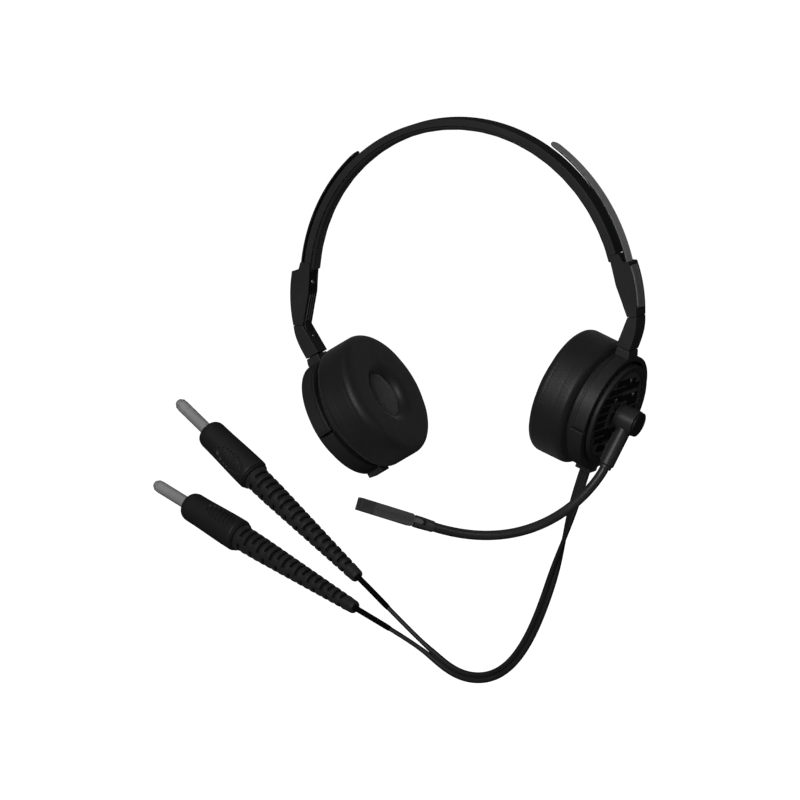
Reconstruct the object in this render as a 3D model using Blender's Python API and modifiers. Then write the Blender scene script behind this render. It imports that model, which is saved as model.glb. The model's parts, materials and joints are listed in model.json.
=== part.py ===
"""Two-ear communication headset with a boom microphone and a twin plug lead, as an assembly.

Frame: +X is the wearer's left, -Y is forward (the way the wearer faces), +Z is up.
The origin is the middle of the headband liner's underside, where it rests on the crown.
Lengths are given in millimetres and turned into metres where each mesh is made.
Names say left and right as seen from in front of the wearer, so right is +X.
"""

import math

import bmesh
import bpy
from mathutils import Matrix, Vector

MM = 0.001
GAP = 0.3

# Headband: arcs about one centre in the XZ plane; angles are measured up from the horizontal.
ARC_Z = -84.6
LINER_R = 84.6
BAND_IN, BAND_OUT = 86.9, 90.5
BAND_HALF = 4.6
BAND_END = 12.9
LINER_END = 14.5
SPRING_IN, SPRING_OUT = 88.7, 89.7
SPRING_HALF = 3.4
SPRING_END = 2.5

# Spring-steel rails, concentric with the band, that slide through the blocks.
RAIL_IN, RAIL_OUT = 93.5, 94.35
RAIL_HALF = 3.5
RAIL_LOW, RAIL_HIGH = -13.0, 54.0

# Blocks and arms: flat-sided mouldings of one depth.
BODY_HALF = 5.3
BLOCK_BACK = (28.0, -88.0, 70.0)
BLOCK_SCREW_ANGLE = 5.8

# Ear cups: local z is the cup axis pointing outwards, local y points up in the cup plane.
CUP_X, CUP_Z = 53.3, -134.7
CUP_TILT = 25.8
PAD_R, PAD_FRONT, PAD_BACK = 33.5, -4.7, 15.3
PAD_RIM_R, PAD_BORE_R = 16.0, 12.6
YOKE_IN, YOKE_OUT = 28.4, 31.1
YOKE_LOW, YOKE_HIGH = 18.8, 26.9
YOKE_DROP = 10.0
SWIVEL_TOP = 34.9
SWIVEL_Z = 22.0
TILT_Z = 22.85
NECK_R, NECK_IN, FLANGE_R = 27.2, 25.4, 27.65
RIM_TOP = 29.3

# Boom: the knob turns on the right cup's axis and carries the sleeve, gooseneck and microphone.
KNOB_R, KNOB_LOW, KNOB_HIGH = 6.75, 29.6, 40.6
SLEEVE_Z, SLEEVE_R, SLEEVE_END = 35.5, 3.8, 24.6
BOOM_FORWARD = 20.7
NECK_TUBE_R = 2.45
COLLAR_START = Vector((11.8, -81.3, -190.5))
MIC_AXIS = Vector((-0.558, -0.730, 0.395)).normalized()
MIC_FACE_TURN = 12.0
COLLAR_LENGTH = 11.2
HEAD_OFFSET = 12.4
HEAD_LENGTH, HEAD_HEIGHT, HEAD_THICK, HEAD_TIP = 31.0, 6.6, 6.0, 7.6
MIC_PIN = 9.2

# Lead: two strands side by side from the right cup, each to its own plug.
STRAND_R = 1.25
STRAND_PITCH = 2.8
LEAD_LOW = Vector((-17.3, 8.6, -281.2))
LEAD_SPLIT = Vector((-46.0, 13.7, -268.6))
PLUGS = {
    "upper": (Vector((-86.0, 18.8, -229.9)), Vector((-0.767, 0.236, 0.597)).normalized()),
    "lower": (Vector((-89.0, 18.7, -245.7)), Vector((-0.874, 0.253, 0.415)).normalized()),
}
BOOT_LENGTH, BOOT_R_CABLE, BOOT_R_BARREL = 83.0, 3.4, 6.5
BARREL_END, BARREL_R_FRONT, BARREL_R_REAR = 120.0, 7.6, 8.45
SHAFT_R, SHAFT_END, PLUG_END = 3.175, 142.6, 146.0

# Base colour, roughness and metallic value of each finish.
FINISHES = {
    "moulding": ((0.028, 0.028, 0.030), 0.55, 0.0),
    "dark_moulding": ((0.012, 0.012, 0.013), 0.60, 0.0),
    "cushion": ((0.014, 0.014, 0.015), 0.70, 0.0),
    "foam": ((0.020, 0.020, 0.021), 0.95, 0.0),
    "rubber": ((0.018, 0.018, 0.019), 0.75, 0.0),
    "steel": ((0.45, 0.45, 0.46), 0.35, 1.0),
    "plate": ((0.09, 0.09, 0.095), 0.45, 0.6),
    "nickel": ((0.60, 0.60, 0.61), 0.25, 1.0),
}

XZ_PLANE = Matrix.Rotation(math.radians(90), 4, "X")
ARC_CENTRE = Vector((0, 0, ARC_Z))


def clear_scene():
    for obj in list(bpy.data.objects):
        bpy.data.objects.remove(obj, do_unlink=True)


def collection(name, hidden=False):
    made = bpy.data.collections.new(name)
    bpy.context.scene.collection.children.link(made)
    made.hide_render = hidden
    return made


def finish(name):
    """The shared Principled material called name."""
    found = bpy.data.materials.get(name)
    if found:
        return found
    colour, roughness, metallic = FINISHES[name]
    made = bpy.data.materials.new(name)
    made.use_nodes = True
    shader = made.node_tree.nodes["Principled BSDF"]
    shader.inputs["Base Color"].default_value = (*colour, 1)
    shader.inputs["Roughness"].default_value = roughness
    shader.inputs["Metallic"].default_value = metallic
    made.diffuse_color = (*colour, 1)
    return made


clear_scene()
PARTS = collection("headset_microphone")
CUTTERS = collection("cutters", hidden=True)


# ---------------------------------------------------------------- frames


def frame_of(origin, z_axis, y_hint):
    """A placement in mm whose local z is z_axis and whose local y is nearest to y_hint."""
    z = Vector(z_axis).normalized()
    x = Vector(y_hint).cross(z).normalized()
    y = z.cross(x)
    turn = Matrix((x, y, z)).transposed().to_4x4()
    return Matrix.Translation(Vector(origin)) @ turn


def cup_axes(side):
    tilt = math.radians(CUP_TILT)
    outward = Vector((side * math.cos(tilt), 0, -math.sin(tilt)))
    up = Vector((side * math.sin(tilt), 0, math.cos(tilt)))
    return outward, up


def cup_frame(side):
    outward, up = cup_axes(side)
    return frame_of((side * CUP_X, 0, CUP_Z), outward, up)


def arc_point(radius, angle, side=1):
    """A point (x, z) on the band's arc, at an angle up from the horizontal."""
    turn = math.radians(angle)
    return side * radius * math.cos(turn), ARC_Z + radius * math.sin(turn)


def in_metres(matrix):
    """The same placement with its translation in metres."""
    scaled = matrix.copy()
    scaled.translation = matrix.translation * MM
    return scaled


# ---------------------------------------------------------------- objects


def pivot(name, location, parent=None):
    """An empty on a joint's axis."""
    empty = bpy.data.objects.new(name, None)
    empty.empty_display_size = 0.01
    PARTS.objects.link(empty)
    return attach(empty, Matrix.Translation(Vector(location)), parent)


def attach(obj, place, parent):
    """Puts obj at its place and, if it has a parent, keeps it there under it."""
    obj.matrix_world = in_metres(place)
    if parent:
        obj.parent = parent
        obj.matrix_parent_inverse = parent.matrix_world.inverted()
    return obj


def solid(name, mesh, look, place, parent=None):
    obj = bpy.data.objects.new(name, mesh)
    PARTS.objects.link(obj)
    mesh.materials.append(finish(look))
    return attach(obj, place, parent)


def cutter(name, mesh, place):
    obj = bpy.data.objects.new(name, mesh)
    CUTTERS.objects.link(obj)
    obj.hide_render = True
    obj.display_type = "WIRE"
    obj.matrix_world = in_metres(place)
    return obj


def boolean(obj, other, operation="DIFFERENCE"):
    modifier = obj.modifiers.new(operation.title(), "BOOLEAN")
    modifier.operation = operation
    modifier.object = other
    return obj


def cut(obj, *shapes):
    """Takes each (mesh, placement) away from obj."""
    for number, (mesh, place) in enumerate(shapes, 1):
        boolean(obj, cutter(f"{obj.name}_cut_{number}", mesh, place))
    return obj


def join(obj, mesh, place):
    return boolean(obj, cutter(f"{obj.name}_joined", mesh, place), "UNION")


def soften(obj, width, segments=1, angle=35):
    """A Bevel on the edges sharper than angle."""
    modifier = obj.modifiers.new("Bevel", "BEVEL")
    modifier.width = width * MM
    modifier.segments = segments
    modifier.limit_method = "ANGLE"
    modifier.angle_limit = math.radians(angle)
    return obj


def smooth(mesh):
    mesh.shade_smooth()
    mesh.set_sharp_from_angle(angle=math.radians(35))
    return mesh


# ---------------------------------------------------------------- meshes


def prism(name, outline, half, middle=0.0):
    """A flat outline in the local xy plane, made 2 x half thick about z = middle."""
    curve = bpy.data.curves.new(name, "CURVE")
    curve.dimensions = "2D"
    curve.fill_mode = "BOTH"
    curve.extrude = half * MM
    spline = curve.splines.new("POLY")
    spline.points.add(len(outline) - 1)
    for point, (x, y) in zip(spline.points, outline):
        point.co = (x * MM, y * MM, 0, 1)
    spline.use_cyclic_u = True
    holder = bpy.data.objects.new(name, curve)
    bpy.context.scene.collection.objects.link(holder)
    graph = bpy.context.evaluated_depsgraph_get()
    mesh = bpy.data.meshes.new_from_object(holder.evaluated_get(graph))
    bpy.data.objects.remove(holder, do_unlink=True)
    return weld(mesh, Matrix.Translation((0, 0, middle * MM)))


def weld(mesh, shift=None):
    shape = bmesh.new()
    shape.from_mesh(mesh)
    bmesh.ops.remove_doubles(shape, verts=shape.verts, dist=1e-6)
    bmesh.ops.dissolve_limit(shape, angle_limit=1e-4, verts=shape.verts, edges=shape.edges)
    if shift:
        bmesh.ops.transform(shape, matrix=shift, verts=shape.verts)
    bmesh.ops.recalc_face_normals(shape, faces=shape.faces)
    shape.to_mesh(mesh)
    shape.free()
    return mesh


def box(name, low, high):
    shape = bmesh.new()
    bmesh.ops.create_cube(shape, size=1)
    for vertex in shape.verts:
        vertex.co = [(a + b + (b - a) * 2 * c) / 2 * MM for a, b, c in zip(low, high, vertex.co)]
    mesh = bpy.data.meshes.new(name)
    shape.to_mesh(mesh)
    shape.free()
    return mesh


def rod(name, radius, low, high, sides=16):
    """A cylinder along local z from low to high."""
    shape = bmesh.new()
    bmesh.ops.create_cone(
        shape,
        cap_ends=True,
        segments=sides,
        radius1=radius * MM,
        radius2=radius * MM,
        depth=(high - low) * MM,
        matrix=Matrix.Translation((0, 0, (low + high) / 2 * MM)),
    )
    mesh = bpy.data.meshes.new(name)
    shape.to_mesh(mesh)
    shape.free()
    return smooth(mesh)


def turned(name, profile, look, place, parent=None, steps=32, closed=False):
    """A solid of revolution about local z; its profile (r, z) runs down the outer side."""
    edges = [(i, i + 1) for i in range(len(profile) - 1)]
    if closed:
        edges.append((len(profile) - 1, 0))
    mesh = bpy.data.meshes.new(name)
    mesh.from_pydata([(r * MM, 0, z * MM) for r, z in profile], edges, [])
    obj = solid(name, mesh, look, place, parent)
    screw = obj.modifiers.new("Screw", "SCREW")
    screw.steps = screw.render_steps = steps
    screw.use_merge_vertices = True
    screw.merge_threshold = 1e-6
    screw.use_smooth_shade = True
    return obj


def sector(inner, outer, low, high, step=4.0, centre=(0.0, ARC_Z), side=1):
    """The outline of a ring sector between two angles, in degrees up from the local x axis."""
    count = max(2, round((high - low) / step))
    turns = [math.radians(low + (high - low) * i / count) for i in range(count + 1)]

    def along(radius, angles):
        cx, cy = centre
        return [(side * (cx + radius * math.cos(a)), cy + radius * math.sin(a)) for a in angles]

    return along(outer, turns) + along(inner, reversed(turns))


def loft(name, rings):
    """A closed skin over rings of points, each with the same number of points."""
    shape = bmesh.new()
    rows = [[shape.verts.new(Vector(p) * MM) for p in ring] for ring in rings]
    count = len(rings[0])
    for first, second in zip(rows, rows[1:]):
        for i in range(count):
            j = (i + 1) % count
            shape.faces.new((first[i], first[j], second[j], second[i]))
    shape.faces.new(reversed(rows[0]))
    shape.faces.new(rows[-1])
    bmesh.ops.recalc_face_normals(shape, faces=shape.faces)
    mesh = bpy.data.meshes.new(name)
    shape.to_mesh(mesh)
    shape.free()
    return mesh


def tube(name, points, radius, look, parent):
    """A wire along points: a POLY curve with a round bevel and filled caps."""
    curve = bpy.data.curves.new(name, "CURVE")
    curve.dimensions = "3D"
    curve.bevel_depth = radius * MM
    curve.bevel_resolution = 1
    curve.use_fill_caps = True
    spline = curve.splines.new("POLY")
    spline.points.add(len(points) - 1)
    for point, place in zip(spline.points, points):
        point.co = (*(Vector(place) * MM), 1)
    return solid(name, curve, look, Matrix.Identity(4), parent)


def bezier(a, b, c, d, count, end=True):
    """count + 1 points on a cubic curve, without the last one if end is False."""
    steps = [i / count for i in range(count + (1 if end else 0))]
    return [
        (1 - t) ** 3 * a + 3 * (1 - t) ** 2 * t * b + 3 * (1 - t) * t**2 * c + t**3 * d
        for t in steps
    ]


# ---------------------------------------------------------------- headband


def headband():
    """The moulded band, its steel spring in a channel, and the soft liner under it."""
    core = prism("headband", sector(BAND_IN, BAND_OUT, BAND_END, 180 - BAND_END), BAND_HALF)
    band = solid("headband", core, "moulding", XZ_PLANE)
    channel = sector(SPRING_IN - GAP, SPRING_OUT + GAP, BAND_END - 3, 183 - BAND_END)
    cut(band, (prism("channel", channel, SPRING_HALF + GAP), XZ_PLANE))

    strip = sector(SPRING_IN, SPRING_OUT, SPRING_END, 180 - SPRING_END, 6.0)
    spring = solid("headband_spring", prism("headband_spring", strip, SPRING_HALF), "steel", XZ_PLANE)
    for side in (1, -1):
        cut(spring, (rod(f"spring_hole_{side}", 1.0, 80, 95), radial(side, BLOCK_SCREW_ANGLE)))
    liner()


def liner():
    """A padded strip with a rounded underside; one facet lies flat on the crown."""
    count = 31
    half_step = math.radians(180 - 2 * LINER_END) / count / 2
    low = LINER_R / math.cos(half_step)
    half, flat_half, shoulder, top = 4.2, 2.4, 85.9, BAND_IN - GAP
    section = [(-half, top), (half, top), (half, shoulder)]
    section += [(flat_half, low), (-flat_half, low), (-half, shoulder)]
    rings = []
    for i in range(count + 1):
        turn = math.radians(LINER_END) + 2 * half_step * i
        x, z = math.cos(turn), math.sin(turn)
        rings.append([(r * x, y, ARC_Z + r * z) for y, r in section])
    solid("headband_liner", loft("headband_liner", rings), "cushion", Matrix.Identity(4))


def radial(side, angle):
    """A placement at the arc's centre whose local z points out along a radius."""
    x, z = arc_point(1, angle, side)
    return frame_of(ARC_CENTRE, (x, 0, z - ARC_Z), (0, 1, 0))


# ---------------------------------------------------------------- adjusters


def block(side, label):
    """The block that closes the band's end and guides the rail."""
    cx, cz, radius = BLOCK_BACK
    back = [
        (cx + radius * math.cos(math.radians(a)), cz + radius * math.sin(math.radians(a)))
        for a in (15.5, 12, 8, 4, 0, -4, -7.5)
    ]
    outline = [(92.0, -97.1), (89.4, -88), (87.3, -81), (86.2, -74), arc_point(86.9, 12.5)]
    outline += [arc_point(92.4, 12.3), (91.9, -69.0), *back]
    outline = [(side * x, z) for x, z in outline]
    body = solid(f"{label}_slider_block", prism("block", outline, BODY_HALF), "moulding", XZ_PLANE)
    soften(body, 0.35, angle=50)
    pocket = (cx, cz)
    inlay_span = (-4.1, 14.2)
    spring_room = sector(SPRING_IN - GAP, SPRING_OUT + GAP, 2.1, 16, side=side)
    rail_slot = sector(RAIL_IN - 0.4, RAIL_OUT + 0.4, -14, 16, side=side)
    cut(
        body,
        (prism("spring_room", spring_room, SPRING_HALF + GAP), XZ_PLANE),
        (prism("rail_slot", rail_slot, RAIL_HALF + GAP), XZ_PLANE),
        (prism("inlay_room", sector(68.9, 73, -4.5, 14.6, 2, pocket, side), 4.4), XZ_PLANE),
        (prism("recess", sector(80, 87.65, 2.2, 9.6, side=side), 3.9), XZ_PLANE),
        (rod("screw_room", 1.0, 80, 92.9), radial(side, BLOCK_SCREW_ANGLE)),
        *[(groove(side, y), Matrix.Identity(4)) for y in (-2.6, 0.0, 2.6)],
    )
    plate = prism("inlay", sector(69.2, 70.0, *inlay_span, 2, pocket, side), 4.1)
    solid(f"{label}_block_inlay", plate, "plate", XZ_PLANE)
    screw = [(0, 92.6), (0.7, 92.6), (0.7, 87.35), (1.3, 87.35), (1.3, 86.95), (0.9, 86.7), (0, 86.7)]
    turned(f"{label}_block_screw", screw, "nickel", radial(side, BLOCK_SCREW_ANGLE), steps=12)


def groove(side, y):
    """A slot between the ribs on the block's slanting inner face."""
    top, bottom = Vector((88.3, 0, -82.6)), Vector((92.2, 0, -94.6))
    along = (bottom - top).normalized()
    inward = Vector((along.z, 0, -along.x))
    corners = [top - inward, bottom - inward, bottom + inward * 0.1, top + inward * 0.1]
    rings = [[(side * p.x, y + half, p.z) for p in corners] for half in (-0.7, 0.7)]
    return loft("groove", rings)


def arm(side, label, parent):
    """The bent arm at the rail's foot, with its rail and the screw that holds them."""
    outline = [(92.2, -97.5), (97.35, -97.5), (97.0, -102), (95.8, -106.8)]
    outline += [(91.6, -114.4), (84.75, -111.1)]
    outline = [(side * x, z) for x, z in outline]
    body = solid(f"{label}_arm", prism("arm", outline, BODY_HALF), "moulding", XZ_PLANE, parent)
    soften(body, 0.35, angle=30)
    hole = screw_frame(side)
    rail_room = sector(RAIL_IN - GAP, RAIL_OUT + GAP, RAIL_LOW - 0.5, -4, side=side)
    cut(
        body,
        (prism("rail_room", rail_room, RAIL_HALF + GAP), XZ_PLANE),
        (rod("screw_room", 0.9, -2, 5.2, 12), hole),
        (rod("pin_room", 1.8, SWIVEL_TOP - 3, 40.0), swivel_frame(side)),
    )
    strip = solid(f"{label}_rail", rail(side), "steel", Matrix.Identity(4), parent)
    cut(strip, (rod("screw_hole", 0.9, -2, 8, 12), hole))
    screw = [(0, 4.8), (0.6, 4.8), (0.6, -0.3), (1.05, -0.3), (1.05, -0.6), (0.6, -0.85), (0, -0.85)]
    turned(f"{label}_arm_screw", screw, "nickel", hole, parent, steps=12)


def screw_frame(side):
    """On the arm's inner face, with local z pointing into the arm."""
    return frame_of((side * 89.1, 0, -103.1), (side * 0.877, 0, -0.48), (0, 1, 0))


def rail(side):
    """A strip bent to the arc, its upper end a half circle as wide as the strip."""
    count = 17
    turns = [RAIL_LOW + (RAIL_HIGH - RAIL_LOW) * i / count for i in range(count)]
    radius = (RAIL_IN + RAIL_OUT) / 2
    end = RAIL_HIGH - math.degrees(RAIL_HALF / radius)
    turns = [(a, RAIL_HALF) for a in turns if a < end - 1]
    for step in range(6):
        swing = math.radians(15 * step)
        lean = math.degrees(RAIL_HALF * math.sin(swing) / radius)
        turns.append((end + lean, RAIL_HALF * math.cos(swing)))
    rings = []
    for angle, half in turns:
        corners = ((RAIL_IN, -half), (RAIL_OUT, -half), (RAIL_OUT, half), (RAIL_IN, half))
        rings.append([(arc_point(r, angle, side)[0], y, arc_point(r, angle)[1]) for r, y in corners])
    return loft("rail", rings)


def swivel_frame(side):
    """Local z runs up the swivel axis; z is the height above the cup's middle."""
    outward, up = cup_axes(side)
    return frame_of(Vector((side * CUP_X, 0, CUP_Z)) + outward * SWIVEL_Z, up, (0, 1, 0))


def tilt_frame(place):
    """Local z runs along the tilt axis of the cup at place, from side to side."""
    return place @ Matrix.Translation((0, 0, TILT_Z)) @ Matrix.Rotation(math.radians(90), 4, "Y")


def outlet_frame(place):
    """Local z runs out through the hole at the foot of the cup at place."""
    return place @ Matrix.Translation((0, 0, SWIVEL_Z)) @ Matrix.Rotation(math.radians(90), 4, "X")


def yoke(side, label, parent):
    """The half ring round the cup, its stub under the arm, and its pins."""
    place = cup_frame(side)
    middle, half = (YOKE_LOW + YOKE_HIGH) / 2, (YOKE_HIGH - YOKE_LOW) / 2
    ring = sector(YOKE_IN, YOKE_OUT, -YOKE_DROP, 180 + YOKE_DROP, 7, (0, 0))
    body = solid(f"{label}_yoke", prism("yoke", ring, half, middle), "moulding", place, parent)
    side_view = place @ Matrix.Rotation(math.radians(-90), 4, "Y")
    stub = [(18.8, 29.6), (26.7, 29.6), (26.7, 31.2), (25.7, SWIVEL_TOP - GAP), (18.4, SWIVEL_TOP - GAP)]
    join(body, prism("stub", stub, BODY_HALF), side_view)
    across = tilt_frame(place)
    cut(body, (rod("swivel_room", 1.8, 20, 40), swivel_frame(side)))
    boolean(body, cutter(f"{label}_yoke_tilt_room", rod("tilt_room", 1.5, -40, 40), across))
    pin = rod("swivel_pin", 1.5, 29.2, 39.5)
    solid(f"{label}_swivel_pin", pin, "steel", swivel_frame(side), parent)
    for end, low, high in (("front", -30.9, -25.8), ("rear", 25.8, 30.9)):
        low, high = sorted((side * low, side * high))
        solid(f"{label}_tilt_pin_{end}", rod("tilt_pin", 1.2, low, high), "steel", across, parent)


# ---------------------------------------------------------------- cups


def cup(side, label, parent):
    """Housing, cushion, foam, baffle, driver, bezel and grille of one ear cup."""
    place = cup_frame(side)
    housing(label, place, parent, bored=side > 0)
    cushion = [
        (28.5, PAD_BACK), (31.5, 14.2), (33.1, 12.0), (PAD_R, 9.5), (PAD_R, 0), (32.6, -2.2),
        (31.0, -4.2), (29.0, PAD_FRONT), (PAD_RIM_R, PAD_FRONT), (14.2, -3.6), (13.0, -1.4),
        (PAD_BORE_R, 1.5), (PAD_BORE_R, PAD_BACK),
    ]
    turned(f"{label}_ear_cushion", cushion, "cushion", place, parent, 24, closed=True)
    foam = [(0, 12.5), (12.2, 12.5), (12.2, 0.8), (0, 0.8)]
    turned(f"{label}_foam_insert", foam, "foam", place, parent, 20)
    baffle = [(25.1, 17.6), (25.1, 16.2), (12.2, 16.2), (12.2, 17.6)]
    turned(f"{label}_baffle", baffle, "dark_moulding", place, parent, 20, closed=True)
    driver = [(0, 23.5), (8, 23.5), (8, 18.2), (11.6, 18.0), (11.6, 14.0), (9.0, 13.2), (0, 13.0)]
    turned(f"{label}_driver", driver, "steel", place, parent, 16)
    bezel = [(25.0, RIM_TOP), (26.6, RIM_TOP), (27.0, 28.8), (27.0, 26.9), (23.9, 26.9), (23.9, 28.9)]
    turned(f"{label}_bezel", bezel, "moulding", place, parent, 28, closed=True)
    grille(label, place, parent, bored=side > 0)


def housing(label, place, parent, bored):
    """The cup shell; its lower half carries a band level with the yoke."""
    hole = 3.4 if bored else 0
    outer = [(hole, 26.6), (NECK_R, 26.6), (NECK_R, 17.8), (FLANGE_R, 17.6), (FLANGE_R, 15.6)]
    inner = [(NECK_IN, 15.6), (NECK_IN, 25.0), (hole, 25.0)]
    body = turned(f"{label}_cup_housing", outer + inner, "moulding", place, parent, 28, closed=bored)
    skirt = sector(NECK_IN + 0.9, YOKE_OUT, 180 + YOKE_DROP + 2.5, 360 - YOKE_DROP - 2.5, 7, (0, 0))
    join(body, prism("skirt", skirt, 3.95, 22.75), place)
    cut(
        body,
        (rod("tilt_room", 1.5, -40, 40), tilt_frame(place)),
        (rod("outlet_room", 3.3, 20, 40), outlet_frame(place)),
    )


def grille(label, place, parent, bored):
    """A disc with slots that run front to back."""
    pitch, slot_half, reach = 4.45, 1.05, 21.6
    disc = solid(f"{label}_grille", rod("grille", 23.6, 27.0, 28.1, 28), "dark_moulding", place, parent)
    slots = []
    for row in range(-4, 5):
        y = pitch * row
        long_half = math.sqrt(reach**2 - (abs(y) + slot_half) ** 2)
        spans = [(-long_half, long_half)]
        if bored and abs(row) <= 1:
            spans = [(-long_half, -5.2), (5.2, long_half)]
        slots += [box("slot", (a, y - slot_half, 26), (b, y + slot_half, 29)) for a, b in spans]
    if bored:
        slots.append(rod("pin_room", 3.4, 26, 30))
    cut(disc, *[(slot, place) for slot in slots])


def outlet_fitting(side, label, parent, bored):
    """The fitting in the hole at the cup's foot: the lead's grommet, or a blank."""
    place = outlet_frame(cup_frame(side))
    name = f"{label}_lead_grommet" if bored else f"{label}_outlet_blank"
    body = solid(name, box(name, (-4.2, -4.4, 31.4), (4.2, 4.4, 33.4)), "rubber", place, parent)
    soften(body, 0.5)
    join(body, rod(f"{name}_neck", 3.0, 27.6, 32.0, 20), place)
    if bored:
        cut(body, (box("lead_room", (-2.1, -2.85, 26), (2.1, 2.85, 36)), place))


# ---------------------------------------------------------------- boom


def boom(parent):
    """Knob, cap, pivot pin, sleeve and gooseneck on the right cup's axis."""
    place = cup_frame(1)
    down = sleeve_frame()
    knob = [
        (0, KNOB_HIGH), (KNOB_R - 0.45, KNOB_HIGH), (KNOB_R, KNOB_HIGH - 0.5),
        (KNOB_R, KNOB_LOW + 0.5), (KNOB_R - 0.45, KNOB_LOW), (0, KNOB_LOW),
    ]
    body = turned("boom_knob", knob, "moulding", place, parent, 20)
    cut(
        body,
        (rod("sleeve_room", SLEEVE_R + GAP, 3.2, 9, 20), down),
        (rod("pin_room", 2.3, 28, 33.4), place),
    )
    cap = [(0, 41.9), (6.1, 41.9), (6.5, 41.5), (6.5, 40.9), (0, 40.9)]
    turned("boom_knob_cap", cap, "dark_moulding", place, parent, 20)
    pin = [(0, 33.0), (2.0, 33.0), (2.0, 24.7), (4.6, 24.6), (4.6, 23.9), (0, 23.9)]
    turned("boom_pivot_pin", pin, "steel", place, parent, 16)
    sleeve = turned(
        "boom_sleeve",
        [(0, SLEEVE_END), (3.5, SLEEVE_END), (SLEEVE_R, 24.2), (SLEEVE_R, 3.6), (0, 3.6)],
        "moulding", down, parent, 20,
    )
    cut(sleeve, (rod("neck_room", NECK_TUBE_R + GAP + 0.05, 16, 30), down))
    gooseneck(down, parent)


def sleeve_frame():
    """Local z runs down the sleeve from the knob's axis, leaning forward in the cup plane."""
    outward, up = cup_axes(1)
    lean = math.radians(BOOM_FORWARD)
    direction = -up * math.cos(lean) + Vector((0, -1, 0)) * math.sin(lean)
    origin = Vector((CUP_X, 0, CUP_Z)) + outward * SLEEVE_Z
    return frame_of(origin, direction, outward)


def gooseneck(down, parent):
    direction = (down.to_3x3() @ Vector((0, 0, 1))).normalized()
    root = down @ Vector((0, 0, SLEEVE_END))
    start = down @ Vector((0, 0, 16.4))
    path = [start, start.lerp(root, 0.5)]
    path += bezier(root, root + direction * 18, COLLAR_START - MIC_AXIS * 59, COLLAR_START, 18)
    path.append(COLLAR_START + MIC_AXIS * 3.5)
    tube("gooseneck", path, NECK_TUBE_R, "rubber", parent)


def mic_frame():
    """Local z runs along the microphone to its tip; local y is the head's height."""
    across = MIC_AXIS.cross(Vector((0, 0, 1))).normalized()
    height = across.cross(MIC_AXIS)
    turn = Matrix.Rotation(math.radians(MIC_FACE_TURN), 3, MIC_AXIS)
    return frame_of(COLLAR_START, MIC_AXIS, turn @ height)


def microphone(parent, head_parent):
    """The forked collar, the pin through it, and the head that swivels in it."""
    place = mic_frame()
    upright = place @ Matrix.Translation((0, 0, MIC_PIN)) @ Matrix.Rotation(math.radians(-90), 4, "X")
    collar = turned(
        "mic_collar",
        [(0, COLLAR_LENGTH), (3.1, COLLAR_LENGTH), (3.3, 10.9), (3.3, 8.0), (2.9, 0.3), (2.7, 0), (0, 0)],
        "moulding", place, parent, 20,
    )
    cut(
        collar,
        (rod("neck_room", NECK_TUBE_R + GAP - 0.1, -2, 4.0), place),
        (box("fork", (-6, -1.35, 5.4), (6, 1.35, 20)), place),
        (rod("pin_room", 0.9, -6, 6, 12), upright),
    )
    solid("mic_pin", rod("mic_pin", 0.6, -2.9, 2.9, 12), "nickel", upright, parent)

    half, deep = HEAD_HEIGHT / 2, HEAD_THICK / 2
    base, tip = HEAD_OFFSET, HEAD_OFFSET + HEAD_LENGTH
    shell = box("mic_body", (-deep, -half, base), (deep, half, tip - HEAD_TIP - GAP))
    body = solid("mic_body", shell, "moulding", place, head_parent)
    soften(body, 0.4)
    join(body, box("tongue", (-2.3, -1.0, 7.2), (2.3, 1.0, base + 2)), place)
    cut(
        body,
        (box("capsule_room", (-2.0, -2.0, base + 6), (2.0, 2.0, tip)), place),
        (rod("pin_room", 0.9, -6, 6, 12), upright),
    )
    cap = box("mic_tip", (-deep, -half, tip - HEAD_TIP), (deep, half, tip))
    solid("mic_tip", cap, "dark_moulding", place, head_parent)
    soften(bpy.data.objects["mic_tip"], 0.4)
    capsule = rod("mic_capsule", 1.7, base + 9, tip - HEAD_TIP - 0.6, 16)
    solid("mic_capsule", capsule, "nickel", place, head_parent)


# ---------------------------------------------------------------- lead and plugs


def lead(parent):
    """Two strands side by side that turn half a turn on the way to the split."""
    outward, up = cup_axes(1)
    exit_point = Vector((CUP_X, 0, CUP_Z)) + outward * SWIVEL_Z - up * 30.0
    leave = exit_point - up * 58
    first = bezier(exit_point, leave, LEAD_LOW + Vector((36, -5, 0)), LEAD_LOW, 16, end=False)
    to_split = LEAD_SPLIT + Vector((6.4, -0.8, -4.8))
    second = bezier(LEAD_LOW, LEAD_LOW + Vector((-14, 2.3, 0)), to_split, LEAD_SPLIT, 5)
    path = first + second
    for strand, sign in (("upper", 1), ("lower", -1)):
        points = []
        for i, point in enumerate(path):
            ahead = path[min(i + 1, len(path) - 1)] - path[max(i - 1, 0)]
            points.append(point + sign * strand_side(ahead, i / (len(path) - 1)) * STRAND_PITCH / 2)
        socket, axis = PLUGS[strand]
        run = (points[-1] - points[-2]).normalized()
        entry = socket + axis * 6.5
        leg = bezier(points[-1], points[-1] + run * 12, socket - axis * 14, socket, 6)
        tube(f"lead_strand_{strand}", points + leg[1:] + [entry], STRAND_R, "rubber", parent)


def strand_side(ahead, share):
    """The direction from one strand to the other, turning about the lead as share goes 0 to 1."""
    ahead = ahead.normalized()
    front = Vector((0.46, -0.88, 0.1))
    facing = (front - ahead * ahead.dot(front)).normalized()
    level = facing.cross(ahead)
    turn = math.pi * min(1.0, share / 0.55)
    return level * math.cos(turn) + facing * math.sin(turn)


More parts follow.
